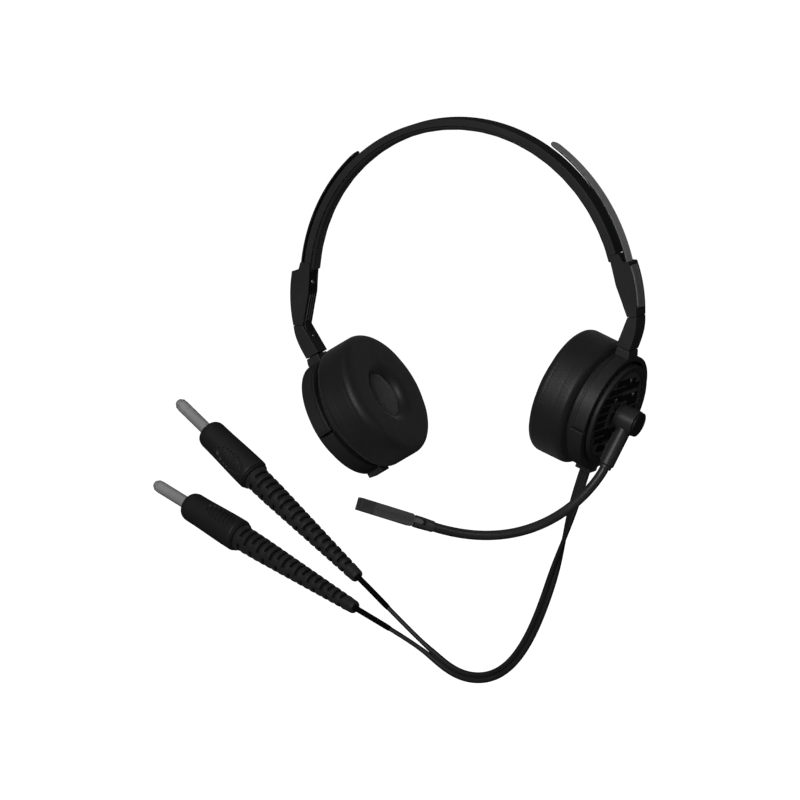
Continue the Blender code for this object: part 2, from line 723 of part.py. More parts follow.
def plug(label, socket, axis, parent):
    """A plug along its axis: ribbed boot, barrel, shaft and tip."""
    place = frame_of(socket, axis, (0, 0, 1))
    boot = [
        (0, BOOT_LENGTH), (BOOT_R_BARREL, BOOT_LENGTH), (6.3, 70), (BOOT_R_CABLE + 0.2, 4),
        (BOOT_R_CABLE, 1), (BOOT_R_CABLE - 0.3, 0), (0, 0),
    ]
    body = turned(f"{label}_plug_boot", boot, "rubber", place, parent, 16)
    cut(body, (rod("strand_room", STRAND_R + 0.4, -2, 8, 12), place))
    barrel = [
        (0, BARREL_END), (5.0, BARREL_END), (6.6, 119.1), (7.4, 117.4), (BARREL_R_FRONT, 115.2),
        (8.1, 100), (BARREL_R_REAR, 87.5), (BARREL_R_REAR, 84.6), (7.6, 83.3), (0, 83.3),
    ]
    body = turned(f"{label}_plug_barrel", barrel, "moulding", place, parent, 20)
    cut(body, (rod("shaft_room", SHAFT_R + GAP, 108, 125, 20), place))
    shaft = [(0, SHAFT_END), (SHAFT_R, SHAFT_END), (SHAFT_R, 108.4), (0, 108.4)]
    turned(f"{label}_plug_shaft", shaft, "nickel", place, parent, 16)
    tip = [(0, PLUG_END), (1.3, PLUG_END), (1.9, 145.6), (3.0, 143.9), (3.0, 142.9), (0, 142.9)]
    turned(f"{label}_plug_tip", tip, "nickel", place, parent, 16)


# ---------------------------------------------------------------- assembly


def build():
    headband()
    for side, label in ((1, "right"), (-1, "left")):
        outward, up = cup_axes(side)
        cup_middle = Vector((side * CUP_X, 0, CUP_Z))
        slide = pivot(f"{label}_slide_pivot", ARC_CENTRE)
        swivel = pivot(f"{label}_swivel_pivot", cup_middle + outward * SWIVEL_Z, slide)
        tilt = pivot(f"{label}_tilt_pivot", cup_middle + outward * TILT_Z, swivel)
        block(side, label)
        arm(side, label, slide)
        yoke(side, label, swivel)
        cup(side, label, tilt)
        outlet_fitting(side, label, tilt, bored=side > 0)
        if side > 0:
            turn = pivot("boom_pivot", cup_middle + outward * SLEEVE_Z, tilt)
            boom(turn)
            nod = pivot("mic_pivot", COLLAR_START + MIC_AXIS * MIC_PIN, turn)
            microphone(turn, nod)
            lead(tilt)
            for name, (socket, axis) in PLUGS.items():
                plug(name, socket, axis, tilt)


build()
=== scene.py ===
"""Looks of a two-ear communication headset with a boom microphone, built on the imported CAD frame.

Pieces are modelled in millimetres in local placements that are read from the frame: a joint's point
and axis, or the reach of the CAD node that a piece stands for. Names say left and right as seen from
in front.
"""

import json
import math

import bmesh
import bpy
import numpy as np
from mathutils import Matrix, Vector, noise

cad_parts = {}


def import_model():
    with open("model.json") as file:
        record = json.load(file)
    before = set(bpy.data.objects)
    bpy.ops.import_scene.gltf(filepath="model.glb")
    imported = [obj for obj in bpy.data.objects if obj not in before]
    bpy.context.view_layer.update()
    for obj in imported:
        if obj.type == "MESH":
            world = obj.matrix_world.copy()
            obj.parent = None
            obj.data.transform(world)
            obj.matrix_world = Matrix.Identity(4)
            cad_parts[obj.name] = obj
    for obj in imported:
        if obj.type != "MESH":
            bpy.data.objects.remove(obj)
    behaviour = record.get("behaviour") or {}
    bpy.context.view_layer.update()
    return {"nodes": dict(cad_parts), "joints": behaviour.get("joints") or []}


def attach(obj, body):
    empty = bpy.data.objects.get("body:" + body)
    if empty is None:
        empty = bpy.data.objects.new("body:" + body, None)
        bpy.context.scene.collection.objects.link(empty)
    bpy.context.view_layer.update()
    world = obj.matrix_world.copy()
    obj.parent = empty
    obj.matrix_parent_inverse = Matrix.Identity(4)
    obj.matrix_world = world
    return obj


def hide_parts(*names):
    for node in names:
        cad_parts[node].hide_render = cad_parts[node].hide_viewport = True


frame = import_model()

MM = 0.001
WORLD = Matrix.Identity(4)
LABELS = {1: "right", -1: "left"}
TILT_Z = 22.85  # height of the tilt axis above the cup's middle plane


# ---------------------------------------------------------------- the frame


def joint(name):
    return next(j for j in frame["joints"] if j["name"] == name)


def joint_point(name):
    return Vector(joint(name)["pos_m"]) / MM


ARC = joint_point("right_slide")


def frame_of(origin, z_axis, y_hint):
    """A placement in mm whose local z is z_axis and whose local y is nearest to y_hint."""
    z = Vector(z_axis).normalized()
    x = Vector(y_hint).cross(z).normalized()
    turn = Matrix((x, z.cross(x), z)).transposed().to_4x4()
    return Matrix.Translation(Vector(origin)) @ turn


def cup_place(side):
    """Local z is the cup's axis pointing outwards, local y points up in the cup plane."""
    label = LABELS[side]
    up = Vector(joint(f"{label}_swivel")["axis"])
    up *= math.copysign(1, up.z)
    outward = Vector((0, side, 0)).cross(up)
    return frame_of(joint_point(f"{label}_tilt") - outward * TILT_Z, outward, up)


def points_of(node, place=WORLD):
    """The CAD node's vertices in a placement, in mm."""
    co = np.array([v.co for v in frame["nodes"][node].data.vertices]) / MM
    back = np.array(place.inverted())
    return co @ back[:3, :3].T + back[:3, 3]


def reach(node, place=WORLD):
    """Lowest and highest local corner of a CAD node."""
    points = points_of(node, place)
    return Vector(points.min(0)), Vector(points.max(0))


def sweep_of(node):
    """Radii, half width and angles of a CAD node about the band's centre, as seen from in front."""
    points = points_of(node)
    x, z = points[:, 0], points[:, 2] - ARC.z
    radius, angle = np.hypot(x, z), np.degrees(np.arctan2(z, x)) % 360
    angle = np.where(angle > 270, angle - 360, angle)
    return radius.min(), radius.max(), points[:, 1].max(), angle.min(), angle.max()


# ---------------------------------------------------------------- outlines


def arc(centre, radius, low, high, step=2.0):
    count = max(2, math.ceil(abs(high - low) / step))
    turns = [math.radians(low + (high - low) * i / count) for i in range(count + 1)]
    return [(centre[0] + radius * math.cos(a), centre[1] + radius * math.sin(a)) for a in turns]


def sector(inner, outer, low, high, step=2.0, centre=(0.0, 0.0)):
    return arc(centre, outer, low, high, step) + arc(centre, inner, high, low, step)


def mirrored(outline, side):
    return [(side * x, z) for x, z in outline]


def rounded(points, radius, closed=True, count=5, least=14):
    """The outline with every corner that turns by more than least degrees rounded."""
    out = []
    total = len(points)
    for i, p in enumerate(points):
        here = Vector(p)
        if not closed and i in (0, total - 1):
            out.append(tuple(here))
            continue
        a, b = Vector(points[i - 1]) - here, Vector(points[(i + 1) % total]) - here
        if a.length < 1e-9 or b.length < 1e-9 or 180 - math.degrees(a.angle(b)) < least:
            out.append(tuple(here))
            continue
        half = a.angle(b) / 2
        reach_back = min(radius / math.tan(half), 0.48 * min(a.length, b.length))
        start, end = here + a.normalized() * reach_back, here + b.normalized() * reach_back
        middle = here + (a.normalized() + b.normalized()).normalized() * reach_back / math.cos(half)
        first, last = start - middle, end - middle
        swing = first.angle_signed(last)
        for k in range(count + 1):
            turn = Matrix.Rotation(-swing * k / count, 2)
            out.append(tuple(middle + turn @ first))
    return out


# ---------------------------------------------------------------- meshes


def mesh_from(shape, name="piece"):
    """The bmesh, in mm, as a mesh in metres with outward normals."""
    bmesh.ops.remove_doubles(shape, verts=shape.verts, dist=1e-4)
    bmesh.ops.dissolve_degenerate(shape, edges=shape.edges, dist=1e-5)
    bmesh.ops.recalc_face_normals(shape, faces=shape.faces)
    bmesh.ops.scale(shape, vec=(MM, MM, MM), verts=shape.verts)
    mesh = bpy.data.meshes.new(name)
    shape.to_mesh(mesh)
    shape.free()
    return mesh


def skin(rings, looped=False):
    """A closed skin over rings of points with the same count; looped joins the last ring to the first."""
    shape = bmesh.new()
    rows = [[shape.verts.new(p) for p in ring] for ring in rings]
    count = len(rows[0])
    pairs = list(zip(rows, rows[1:])) + ([(rows[-1], rows[0])] if looped else [])
    for first, second in pairs:
        for i in range(count):
            j = (i + 1) % count
            shape.faces.new((first[i], first[j], second[j], second[i]))
    if not looped:
        shape.faces.new(reversed(rows[0]))
        shape.faces.new(rows[-1])
    return mesh_from(shape)


def plate(outline, low, high):
    """An outline in the local xy plane between two heights."""
    return skin([[(x, y, z) for x, y in outline] for z in (low, high)])


def slab(outline, half, middle=0.0):
    """An outline in the XZ plane, 2 x half thick along Y."""
    return skin([[(x, y, z) for x, z in outline] for y in (middle - half, middle + half)])


def box(low, high):
    corners = [(low[0], low[1]), (high[0], low[1]), (high[0], high[1]), (low[0], high[1])]
    return plate(corners, low[2], high[2])


def turned(profile, steps=96, closed=False):
    """A solid of revolution about local z from its profile (r, z)."""
    shape = bmesh.new()
    rows = []
    for i in range(steps):
        a = 2 * math.pi * i / steps
        rows.append([shape.verts.new((r * math.cos(a), r * math.sin(a), z)) for r, z in profile])
    spans = len(profile) if closed else len(profile) - 1
    for i in range(steps):
        first, second = rows[i], rows[(i + 1) % steps]
        for k in range(spans):
            m = (k + 1) % len(profile)
            shape.faces.new((first[k], first[m], second[m], second[k]))
    return mesh_from(shape)


def rod(radius, low, high, steps=32):
    return turned([(0, low), (radius, low), (radius, high), (0, high)], steps)


def bent(section, low, high, step=1.0):
    """A section of (radius, y) points swept about the band's centre between two angles."""
    count = math.ceil((high - low) / step)
    rings = []
    for i in range(count + 1):
        a = math.radians(low + (high - low) * i / count)
        rings.append([(r * math.cos(a), y, ARC.z + r * math.sin(a)) for r, y in section])
    return skin(rings)


def pipe(points, radius, sides=20):
    """A tube along points; radius is a number or a function of the share of its length."""
    points = [Vector(p) for p in points]
    lengths = [0.0]
    for a, b in zip(points, points[1:]):
        lengths.append(lengths[-1] + (b - a).length)
    ahead = (points[1] - points[0]).normalized()
    across = ahead.orthogonal().normalized()
    rings = []
    for i, p in enumerate(points):
        ahead = (points[min(i + 1, len(points) - 1)] - points[max(i - 1, 0)]).normalized()
        across = (across - ahead * across.dot(ahead)).normalized()
        other = ahead.cross(across)
        r = radius(lengths[i] / lengths[-1]) if callable(radius) else radius
        turns = [2 * math.pi * k / sides for k in range(sides)]
        rings.append([p + (across * math.cos(t) + other * math.sin(t)) * r for t in turns])
    return skin(rings)


def bezier(a, b, c, d, count):
    steps = [i / count for i in range(count + 1)]
    return [
        (1 - t) ** 3 * a + 3 * (1 - t) ** 2 * t * b + 3 * (1 - t) * t**2 * c + t**3 * d for t in steps
    ]


def merged(meshes):
    """Several closed meshes as one."""
    shape = bmesh.new()
    for mesh in meshes:
        shape.from_mesh(mesh)
    out = bpy.data.meshes.new("merged")
    shape.to_mesh(out)
    shape.free()
    return out


# ---------------------------------------------------------------- modifiers and pieces


def in_metres(place):
    scaled = place.copy()
    scaled.translation = place.translation * MM
    return scaled


def worked(obj):
    """Applies the object's modifiers."""
    graph = bpy.context.evaluated_depsgraph_get()
    mesh = bpy.data.meshes.new_from_object(obj.evaluated_get(graph))
    obj.modifiers.clear()
    obj.data = mesh
    return obj


def holder(mesh, place=WORLD):
    obj = bpy.data.objects.new("holder", mesh)
    bpy.context.scene.collection.objects.link(obj)
    obj.matrix_world = in_metres(place)
    return obj


def softened(mesh, width, segments=3, angle=35):
    """The mesh with its sharp edges rounded."""
    obj = holder(mesh)
    bevel = obj.modifiers.new("Bevel", "BEVEL")
    bevel.width = width * MM
    bevel.segments = segments
    bevel.limit_method = "ANGLE"
    bevel.angle_limit = math.radians(angle)
    mesh = worked(obj).data
    bpy.data.objects.remove(obj)
    return mesh


def combined(mesh, place, others, operation="DIFFERENCE"):
    """The mesh with each (mesh, placement) taken away, or joined on."""
    obj = holder(mesh, place)
    tools = []
    for other, other_place in others:
        tool = holder(other, other_place)
        tools.append(tool)
        modifier = obj.modifiers.new("Boolean", "BOOLEAN")
        modifier.operation = operation
        modifier.solver = "EXACT"
        modifier.object = tool
    bpy.context.view_layer.update()
    mesh = worked(obj).data
    for tool in tools + [obj]:
        bpy.data.objects.remove(tool)
    return mesh


def cut(mesh, place, *others):
    return combined(mesh, place, others)


def joined(mesh, place, *others):
    return combined(mesh, place, others, "UNION")


def second_material_on(obj, look, chosen):
    """A second material on the faces that chosen picks by their centre in mm and their normal: here painted
    shade.
    """
    obj.data.materials.append(look)
    number = len(obj.data.materials) - 1
    for face in obj.data.polygons:
        if chosen(face.center / MM, face.normal):
            face.material_index = number


def piece(name, mesh, look, place, body, node=None, sharp=35):
    """A finished piece: placed, shaded, riding on its body and standing for its CAD nodes."""
    obj = bpy.data.objects.new(name, mesh)
    bpy.context.scene.collection.objects.link(obj)
    obj.matrix_world = in_metres(place)
    obj.data.materials.clear()
    obj.data.materials.append(look)
    obj.data.shade_smooth()
    obj.data.set_sharp_from_angle(angle=math.radians(sharp))
    weighted = obj.modifiers.new("Weighted normals", "WEIGHTED_NORMAL")
    weighted.keep_sharp = True
    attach(obj, body)
    if node:
        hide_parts(node)
    return obj


def stand_in(node, mesh, look, place, body, sharp=35):
    """A piece that stands for the one CAD node it is named after."""
    return piece(f"{node}_fine", mesh, look, place, body, node, sharp)


# ---------------------------------------------------------------- materials


class Look:
    """A procedural material: a Principled BSDF fed by object-space patterns."""

    def __init__(self, name, colour, roughness, metallic=0.0, specular=0.35):
        self.material = bpy.data.materials.new(name)
        self.material.use_nodes = True
        self.tree = self.material.node_tree
        self.shader = self.tree.nodes["Principled BSDF"]
        self.colour = colour
        self.roughness = roughness
        self.shader.inputs["Metallic"].default_value = metallic
        self.shader.inputs["Specular IOR Level"].default_value = specular
        self.space = self.node("ShaderNodeTexCoord").outputs["Object"]
        self.shade = None
        self.rough_sum = None
        self.height = None

    def node(self, kind, **values):
        made = self.tree.nodes.new(kind)
        for key, value in values.items():
            if hasattr(made, key):
                setattr(made, key, value)
        return made

    def link(self, source, node, name):
        self.tree.links.new(source, node.inputs[name])
        return node

    def stretched(self, scale):
        """The object's coordinates, stretched."""
        mapping = self.node("ShaderNodeMapping")
        mapping.inputs["Scale"].default_value = scale
        return self.link(self.space, mapping, "Vector").outputs["Vector"]

    def noise(self, scale, detail=3.0, space=None):
        made = self.node("ShaderNodeTexNoise")
        made.inputs["Scale"].default_value = scale
        made.inputs["Detail"].default_value = detail
        return self.link(space or self.space, made, "Vector").outputs["Fac"]

    def cells(self, scale, space=None):
        made = self.node("ShaderNodeTexVoronoi", feature="DISTANCE_TO_EDGE")
        made.inputs["Scale"].default_value = scale
        return self.link(space or self.space, made, "Vector").outputs["Distance"]

    def waves(self, scale, axis, distortion=0.0):
        made = self.node("ShaderNodeTexWave", wave_type="BANDS", bands_direction=axis)
        made.inputs["Scale"].default_value = scale
        made.inputs["Distortion"].default_value = distortion
        return self.link(self.space, made, "Vector").outputs["Fac"]

    def spread(self, source, low, high, start=0.0, end=1.0):
        """The source mapped from start..end to low..high."""
        made = self.node("ShaderNodeMapRange")
        made.inputs["From Min"].default_value = start
        made.inputs["From Max"].default_value = end
        made.inputs["To Min"].default_value = low
        made.inputs["To Max"].default_value = high
        return self.link(source, made, "Value").outputs["Result"]

    def maths(self, operation, a, b):
        made = self.node("ShaderNodeMath", operation=operation)
        for number, value in enumerate((a, b)):
            if isinstance(value, (int, float)):
                made.inputs[number].default_value = value
            else:
                self.tree.links.new(value, made.inputs[number])
        return made.outputs["Value"]

    def tint(self, factor):
        """Multiplies the colour by a factor, on top of the factors so far."""
        self.shade = factor if self.shade is None else self.maths("MULTIPLY", self.shade, factor)

    def mottle(self, scale, amount):
        """Slow variation of colour and of roughness."""
        cloud = self.noise(scale, 4.0)
        self.tint(self.spread(cloud, 1 - amount, 1 + amount, 0.3, 0.7))
        self.rough(self.spread(cloud, -amount * 0.3, amount * 0.3, 0.3, 0.7))

    def rough(self, offset):
        """Adds to the roughness, on top of the offsets so far."""
        current = self.roughness if self.rough_sum is None else self.rough_sum
        self.rough_sum = self.maths("ADD", current, offset)

    def wear(self, gain):
        """Lighter and smoother where an edge has been handled."""
        edge = self.node("ShaderNodeNewGeometry").outputs["Pointiness"]
        convex = self.spread(edge, 0, 1, 0.505, 0.56)
        broken = self.maths("MULTIPLY", convex, self.noise(900, 2.0))
        self.tint(self.spread(broken, 1.0, 1 + gain))
        self.rough(self.spread(broken, 0.0, -0.12))

    def bump(self, source, depth, strength=1.0):
        """Adds a relief, depth in mm, over the reliefs so far."""
        made = self.node("ShaderNodeBump")
        made.inputs["Strength"].default_value = strength
        made.inputs["Distance"].default_value = depth * MM
        self.link(source, made, "Height")
        if self.height is not None:
            self.link(self.height, made, "Normal")
        self.height = made.outputs["Normal"]

    def done(self, sheen=0.0):
        if self.shade is None:
            self.shader.inputs["Base Color"].default_value = (*self.colour, 1)
        else:
            mix = self.node("ShaderNodeVectorMath", operation="SCALE")
            mix.inputs[0].default_value = self.colour
            self.link(self.shade, mix, "Scale")
            self.link(mix.outputs["Vector"], self.shader, "Base Color")
        if self.rough_sum is None:
            self.shader.inputs["Roughness"].default_value = self.roughness
        else:
            clamp = self.node("ShaderNodeClamp")
            self.link(self.rough_sum, clamp, "Value")
            self.link(clamp.outputs["Result"], self.shader, "Roughness")
        if self.height is not None:
            self.link(self.height, self.shader, "Normal")
        self.shader.inputs["Sheen Weight"].default_value = sheen
        return self.material


def moulded(name, colour, roughness, grain=4200, depth=0.012, wear=0.5):
    """Black moulded plastic: spark-eroded grain, faint flow marks and handled edges."""
    look = Look(name, colour, roughness)
    look.mottle(45, 0.12)
    look.wear(wear)
    look.rough(look.spread(look.noise(1500, 2.0), -0.05, 0.05, 0.3, 0.7))
    look.bump(look.noise(grain, 2.0), depth, 0.6)
    look.bump(look.noise(260, 1.0), 0.02, 0.35)
    return look.done()


def leatherette(name, colour, roughness, pore=900, depth=0.05):
    """Protein leather: small irregular pebbles with creases between them."""
    look = Look(name, colour, roughness, specular=0.4)
    warped = look.stretched((1.0, 1.15, 0.9))
    creases = look.cells(pore, space=warped)
    pebbles = look.spread(creases, 0.0, 1.0, 0.0, 0.35)
    look.mottle(60, 0.14)
    # The creases between the pebbles are painted darker than the pebble tops: painted shade.
    look.tint(look.spread(pebbles, 0.75, 1.08))
    look.rough(look.spread(pebbles, 0.08, -0.04))
    look.bump(pebbles, depth, 0.55)
    look.bump(look.noise(5200, 2.0), 0.008, 0.5)
    look.bump(look.noise(140, 2.0), 0.12, 0.3)
    return look.done(sheen=0.12)


def open_foam(name, colour):
    """Reticulated foam under a thin acoustic cloth."""
    look = Look(name, colour, 0.9, specular=0.2)
    weave = look.maths("MULTIPLY", look.waves(420, "X"), look.waves(420, "Y"))
    look.mottle(80, 0.15)
    look.tint(look.spread(weave, 0.6, 1.25))
    look.bump(weave, 0.09, 0.7)
    look.bump(look.noise(2600, 3.0), 0.03, 0.6)
    return look.done(sheen=0.3)


def rubber(name, colour, roughness=0.62, depth=0.02):
    look = Look(name, colour, roughness, specular=0.3)
    look.mottle(70, 0.12)
    look.wear(0.35)
    look.bump(look.noise(3000, 3.0), depth, 0.5)
    look.bump(look.noise(320, 2.0), 0.03, 0.3)
    return look.done(sheen=0.08)


def brushed(name, colour, roughness, stretch, metallic=1.0):
    """Rolled or brushed metal: hair lines along one direction, and a few scuffs."""
    look = Look(name, colour, roughness, metallic, 0.5)
    lines = look.noise(2400, 4.0, look.stretched(stretch))
    look.mottle(30, 0.1)
    look.tint(look.spread(lines, 0.82, 1.14, 0.3, 0.7))
    look.rough(look.spread(lines, -0.08, 0.1, 0.3, 0.7))
    scuffs = look.spread(look.noise(170, 5.0), 0, 1, 0.62, 0.72)
    look.rough(look.maths("MULTIPLY", scuffs, 0.1))
    look.bump(lines, 0.006, 0.5)
    return look.done()


def machined(name, colour, roughness, metallic=1.0):
    """Satin plated metal with fine turning marks about local z."""
    look = Look(name, colour, roughness, metallic, 0.5)
    rings = look.waves(900, "Z", distortion=1.2)
    look.mottle(60, 0.06)
    look.rough(look.spread(rings, -0.05, 0.07))
    look.rough(look.spread(look.noise(220, 4.0), -0.04, 0.1, 0.4, 0.7))
    look.bump(rings, 0.004, 0.5)
    return look.done()


def jacket(name, colour, roughness, rings=0.0, specular=0.35):
    """Extruded cable skin, with faint die lines and, on the gooseneck, the coil under it."""
    look = Look(name, colour, roughness, specular=specular)
    look.mottle(90, 0.12)
    look.rough(look.spread(look.noise(600, 3.0), -0.06, 0.06, 0.3, 0.7))
    look.bump(look.noise(2600, 2.0), 0.012, 0.4)
    if rings:
        look.bump(look.noise(rings, 1.0), 0.05, 0.35)
    return look.done()


MOULDING = moulded("moulding_fine", (0.0235, 0.0235, 0.0245), 0.50)
BAND = moulded("band_moulding_fine", (0.0235, 0.0235, 0.0245), 0.52, grain=3600)
# A lighter copy of the moulding: painted highlight, so the grille bars and the block's ribs read as light
# lines.
GRILLE_HIGHLIGHT = moulded("grille_painted_highlight_fine", (0.065, 0.065, 0.067), 0.45, wear=0.3)
DARK = moulded("dark_moulding_fine", (0.010, 0.010, 0.011), 0.55, wear=0.3)
# Near-black painted shade for recess floors and slot floors.
RECESS_SHADE = moulded("painted_recess_shade_fine", (0.003, 0.003, 0.003), 0.75, wear=0.0)
PAD = leatherette("ear_pad_fine", (0.018, 0.018, 0.019), 0.47)
LINER = leatherette("liner_pad_fine", (0.012, 0.012, 0.013), 0.60, pore=1200, depth=0.035)
FOAM = open_foam("acoustic_foam_fine", (0.035, 0.035, 0.036))
SPRING = brushed("spring_steel_fine", (0.40, 0.40, 0.41), 0.35, (0.1, 1.0, 1.0))
RAIL = brushed("rail_steel_fine", (0.48, 0.48, 0.485), 0.40, (0.12, 1.0, 0.12), metallic=0.25)
# A dark copy of the rail steel: painted shade on the rail's edges and inner face.
RAIL_SHADE = brushed("rail_painted_shade_fine", (0.014, 0.014, 0.015), 0.45, (0.12, 1.0, 0.12), metallic=0.2)
PLATE = brushed("inlay_plate_fine", (0.25, 0.25, 0.255), 0.42, (1.0, 1.0, 0.08), metallic=0.25)
FASTENER = machined("fastener_steel_fine", (0.42, 0.42, 0.43), 0.34)
DRIVER = machined("driver_steel_fine", (0.20, 0.20, 0.21), 0.40)
NICKEL = machined("plug_nickel_fine", (0.52, 0.52, 0.52), 0.34, metallic=0.25)
CAPSULE = machined("capsule_metal_fine", (0.35, 0.35, 0.35), 0.35)
# A lighter copy of the moulding for knob and sleeve: partly painted highlight.
BOOM_PAINTED_HIGHLIGHT = moulded("boom_painted_highlight_fine", (0.030, 0.030, 0.031), 0.42)
# The head, tip and collar mouldings are lighter than the black moulding: painted highlight for the bright
# sheen on the microphone.
MIC_PAINTED_HIGHLIGHT = moulded("mic_painted_highlight_fine", (0.075, 0.075, 0.077), 0.40)
MIC_END_PAINTED_HIGHLIGHT = moulded("mic_tip_fine", (0.046, 0.046, 0.048), 0.42)
OUTLET = rubber("outlet_rubber_fine", (0.022, 0.022, 0.023))
BOOT = rubber("plug_boot_fine", (0.024, 0.024, 0.025), 0.60)
PLUG = moulded("plug_moulding_fine", (0.022, 0.022, 0.023), 0.48)
# The gooseneck skin is made lighter, partly as painted highlight along the tube.
GOOSENECK_PAINTED_HIGHLIGHT = jacket("gooseneck_fine", (0.036, 0.036, 0.037), 0.34, rings=700)
LEAD = jacket("lead_skin_fine", (0.020, 0.020, 0.021), 0.46)
LEAD_DARK = jacket("lead_relief_fine", (0.002, 0.002, 0.002), 0.8, specular=0.08)


# ---------------------------------------------------------------- headband


def headband():
    """The moulded band and its padded liner."""
    low, high, half, start, end = sweep_of("headband")
    fillet = 0.3
    section = rounded([(low, -half), (high, -half), (high, half), (low, half)], fillet, count=4)
    band = bent(section, start - 0.35, end + 0.35)
    stand_in("headband", band, BAND, WORLD, "headband")
    liner()


def liner():
    """A padded strip, swollen by a cloth simulation and sewn along both edges."""
    low, _, half, start, end = sweep_of("headband_liner")
    high = sweep_of("headband")[0] - 0.02
    start, end = start - 4.3, end + 4.3
    pull_in = 0.25
    shoulder = high - 0.9
    section = [(high, -half + pull_in), (high, half - pull_in), (shoulder, half), (low + 0.3, half - 0.6)]
    section += [(low, half - 1.7), (low, -half + 1.7), (low + 0.3, -half + 0.6), (shoulder, -half)]
    section = subdivided(rounded(section, 0.6, count=2), 0.8)
    mesh = bent(section, start, end, 0.5)

    def held(co):
        radius = math.hypot(co.x, co.z - ARC.z * MM) / MM
        return radius > high - 0.15

    mesh = swollen("headband_liner", mesh, WORLD, held, most=0.35)
    for vertex in mesh.vertices:
        x, y, z = vertex.co / MM
        radius, angle = math.hypot(x, z - ARC.z), math.atan2(z - ARC.z, x)
        seam = math.exp(-(((abs(y) - (half - 1.3)) / 0.28) ** 2)) if radius < high - 0.6 else 0
        quilt = 0.10 * math.sin(math.degrees(angle) * 0.9) * (1 if radius < high - 1 else 0)
        radius = min(radius + 0.30 * seam + quilt * 0.4, high)
        vertex.co = Vector((radius * math.cos(angle), y, ARC.z + radius * math.sin(angle))) * MM
    stand_in("headband_liner", mesh, LINER, WORLD, "headband", 60)


def subdivided(outline, longest):
    """The closed outline with extra points, so that no span is over longest."""
    out = []
    for a, b in zip(outline, outline[1:] + outline[:1]):
        count = max(1, math.ceil(math.dist(a, b) / longest))
        out += [(a[0] + (b[0] - a[0]) * k / count, a[1] + (b[1] - a[1]) * k / count) for k in range(count)]
    return out


# ---------------------------------------------------------------- soft goods


def swollen(name, mesh, place, held, most):
    """The mesh inflated by a cloth simulation, no point moving more than most mm, then subdivided."""
    obj = holder(mesh, place)
    obj.name = f"{name}_cloth"
    rest = np.array([v.co for v in mesh.vertices])
    pins = obj.vertex_groups.new(name="held")
    pins.add([v.index for v in mesh.vertices if held(v.co)], 1.0, "REPLACE")
    moved = rest
    cloth = obj.modifiers.new("Cloth", "CLOTH")
    settings = cloth.settings
    settings.quality = 5
    settings.mass = 0.05
    settings.tension_stiffness = settings.compression_stiffness = 12
    settings.bending_stiffness = 0.4
    settings.use_pressure = True
    settings.uniform_pressure_force = 4
    settings.vertex_group_mass = "held"
    settings.effector_weights.gravity = 0
    cloth.collision_settings.use_collision = False
    cloth.collision_settings.use_self_collision = False
    cloth.point_cache.frame_start, cloth.point_cache.frame_end = 1, 20
    for step in range(1, 21):
        bpy.context.scene.frame_set(step)
    graph = bpy.context.evaluated_depsgraph_get()
    soft = obj.evaluated_get(graph).to_mesh()
    moved = np.array([v.co for v in soft.vertices])
    obj.modifiers.clear()
    bpy.context.scene.frame_set(1)
    travel = moved - rest
    length = np.linalg.norm(travel, axis=1, keepdims=True)
    capped = travel * (most * MM / (most * MM + length))
    for vertex, start, shift in zip(mesh.vertices, rest, capped):
        vertex.co = Vector(start + shift)
    subdivision = obj.modifiers.new("Subdivision", "SUBSURF")
    subdivision.levels = subdivision.render_levels = 1
    mesh = worked(obj).data
    bpy.data.objects.remove(obj)
    return mesh


def ear_cushion(side, label, place):
    """A leather ring with a crowned front, sewn round its shoulder and round its side."""
    low, high = reach(f"{label}_ear_cushion", place)
    radius, front, back = high.x, low.z - 0.05, high.z
    rim, bore, roll, heel = 17.4, 12.6, 4.8, 2.8
    shoulder = 4.3
    outer = arc((radius - shoulder, front + shoulder), shoulder, 0, -90, 9)
    lip = arc((rim, front + roll), roll, -90, -180, 9)
    profile = arc((radius - heel, back - heel), heel, 90, 0, 18)
    profile += spaced(profile[-1], outer[0], 1.3)[1:] + outer[1:]
    profile += spaced(outer[-1], lip[0], 1.3)[1:] + lip[1:]
    profile += spaced(lip[-1], (bore, back), 1.5)[1:]
    profile += spaced((bore, back), (radius - heel, back), 2.4)[1:-1]
    mesh = turned(profile, 132, closed=True)

    def held(co):
        return co.z / MM > back - 1.2 or math.hypot(co.x, co.y) / MM < bore + 0.4 and co.z / MM > 3

    mesh = swollen(f"{label}_ear_cushion", mesh, place, held, most=0.45)
    shoulder_seam, side_seam = front + shoulder + 0.6, front + 12.6
    for vertex in mesh.vertices:
        x, y, z = vertex.co / MM
        r, angle = math.hypot(x, y), math.atan2(y, x)
        if r > radius - 2.5:
            for level, depth in ((shoulder_seam, 0.12), (side_seam, 0.10)):
                r -= depth * math.exp(-(((z - level) / 0.42) ** 2))
            pucker = 0.05 * math.sin(angle * 84) * math.exp(-(((z - shoulder_seam) / 1.6) ** 2))
            r += pucker
        if z < front + 3.5:
            fold = noise.noise(Vector((x, y, z)) * 0.11 + Vector((side * 9, 0, 0)))
            z += 0.16 * fold
        vertex.co = Vector((r * math.cos(angle), r * math.sin(angle), z)) * MM
    stand_in(f"{label}_ear_cushion", mesh, PAD, place, f"{label}_cup", 70)


def spaced(a, b, longest):
    count = max(1, math.ceil(math.dist(a, b) / longest))
    return [(a[0] + (b[0] - a[0]) * k / count, a[1] + (b[1] - a[1]) * k / count) for k in range(count + 1)]


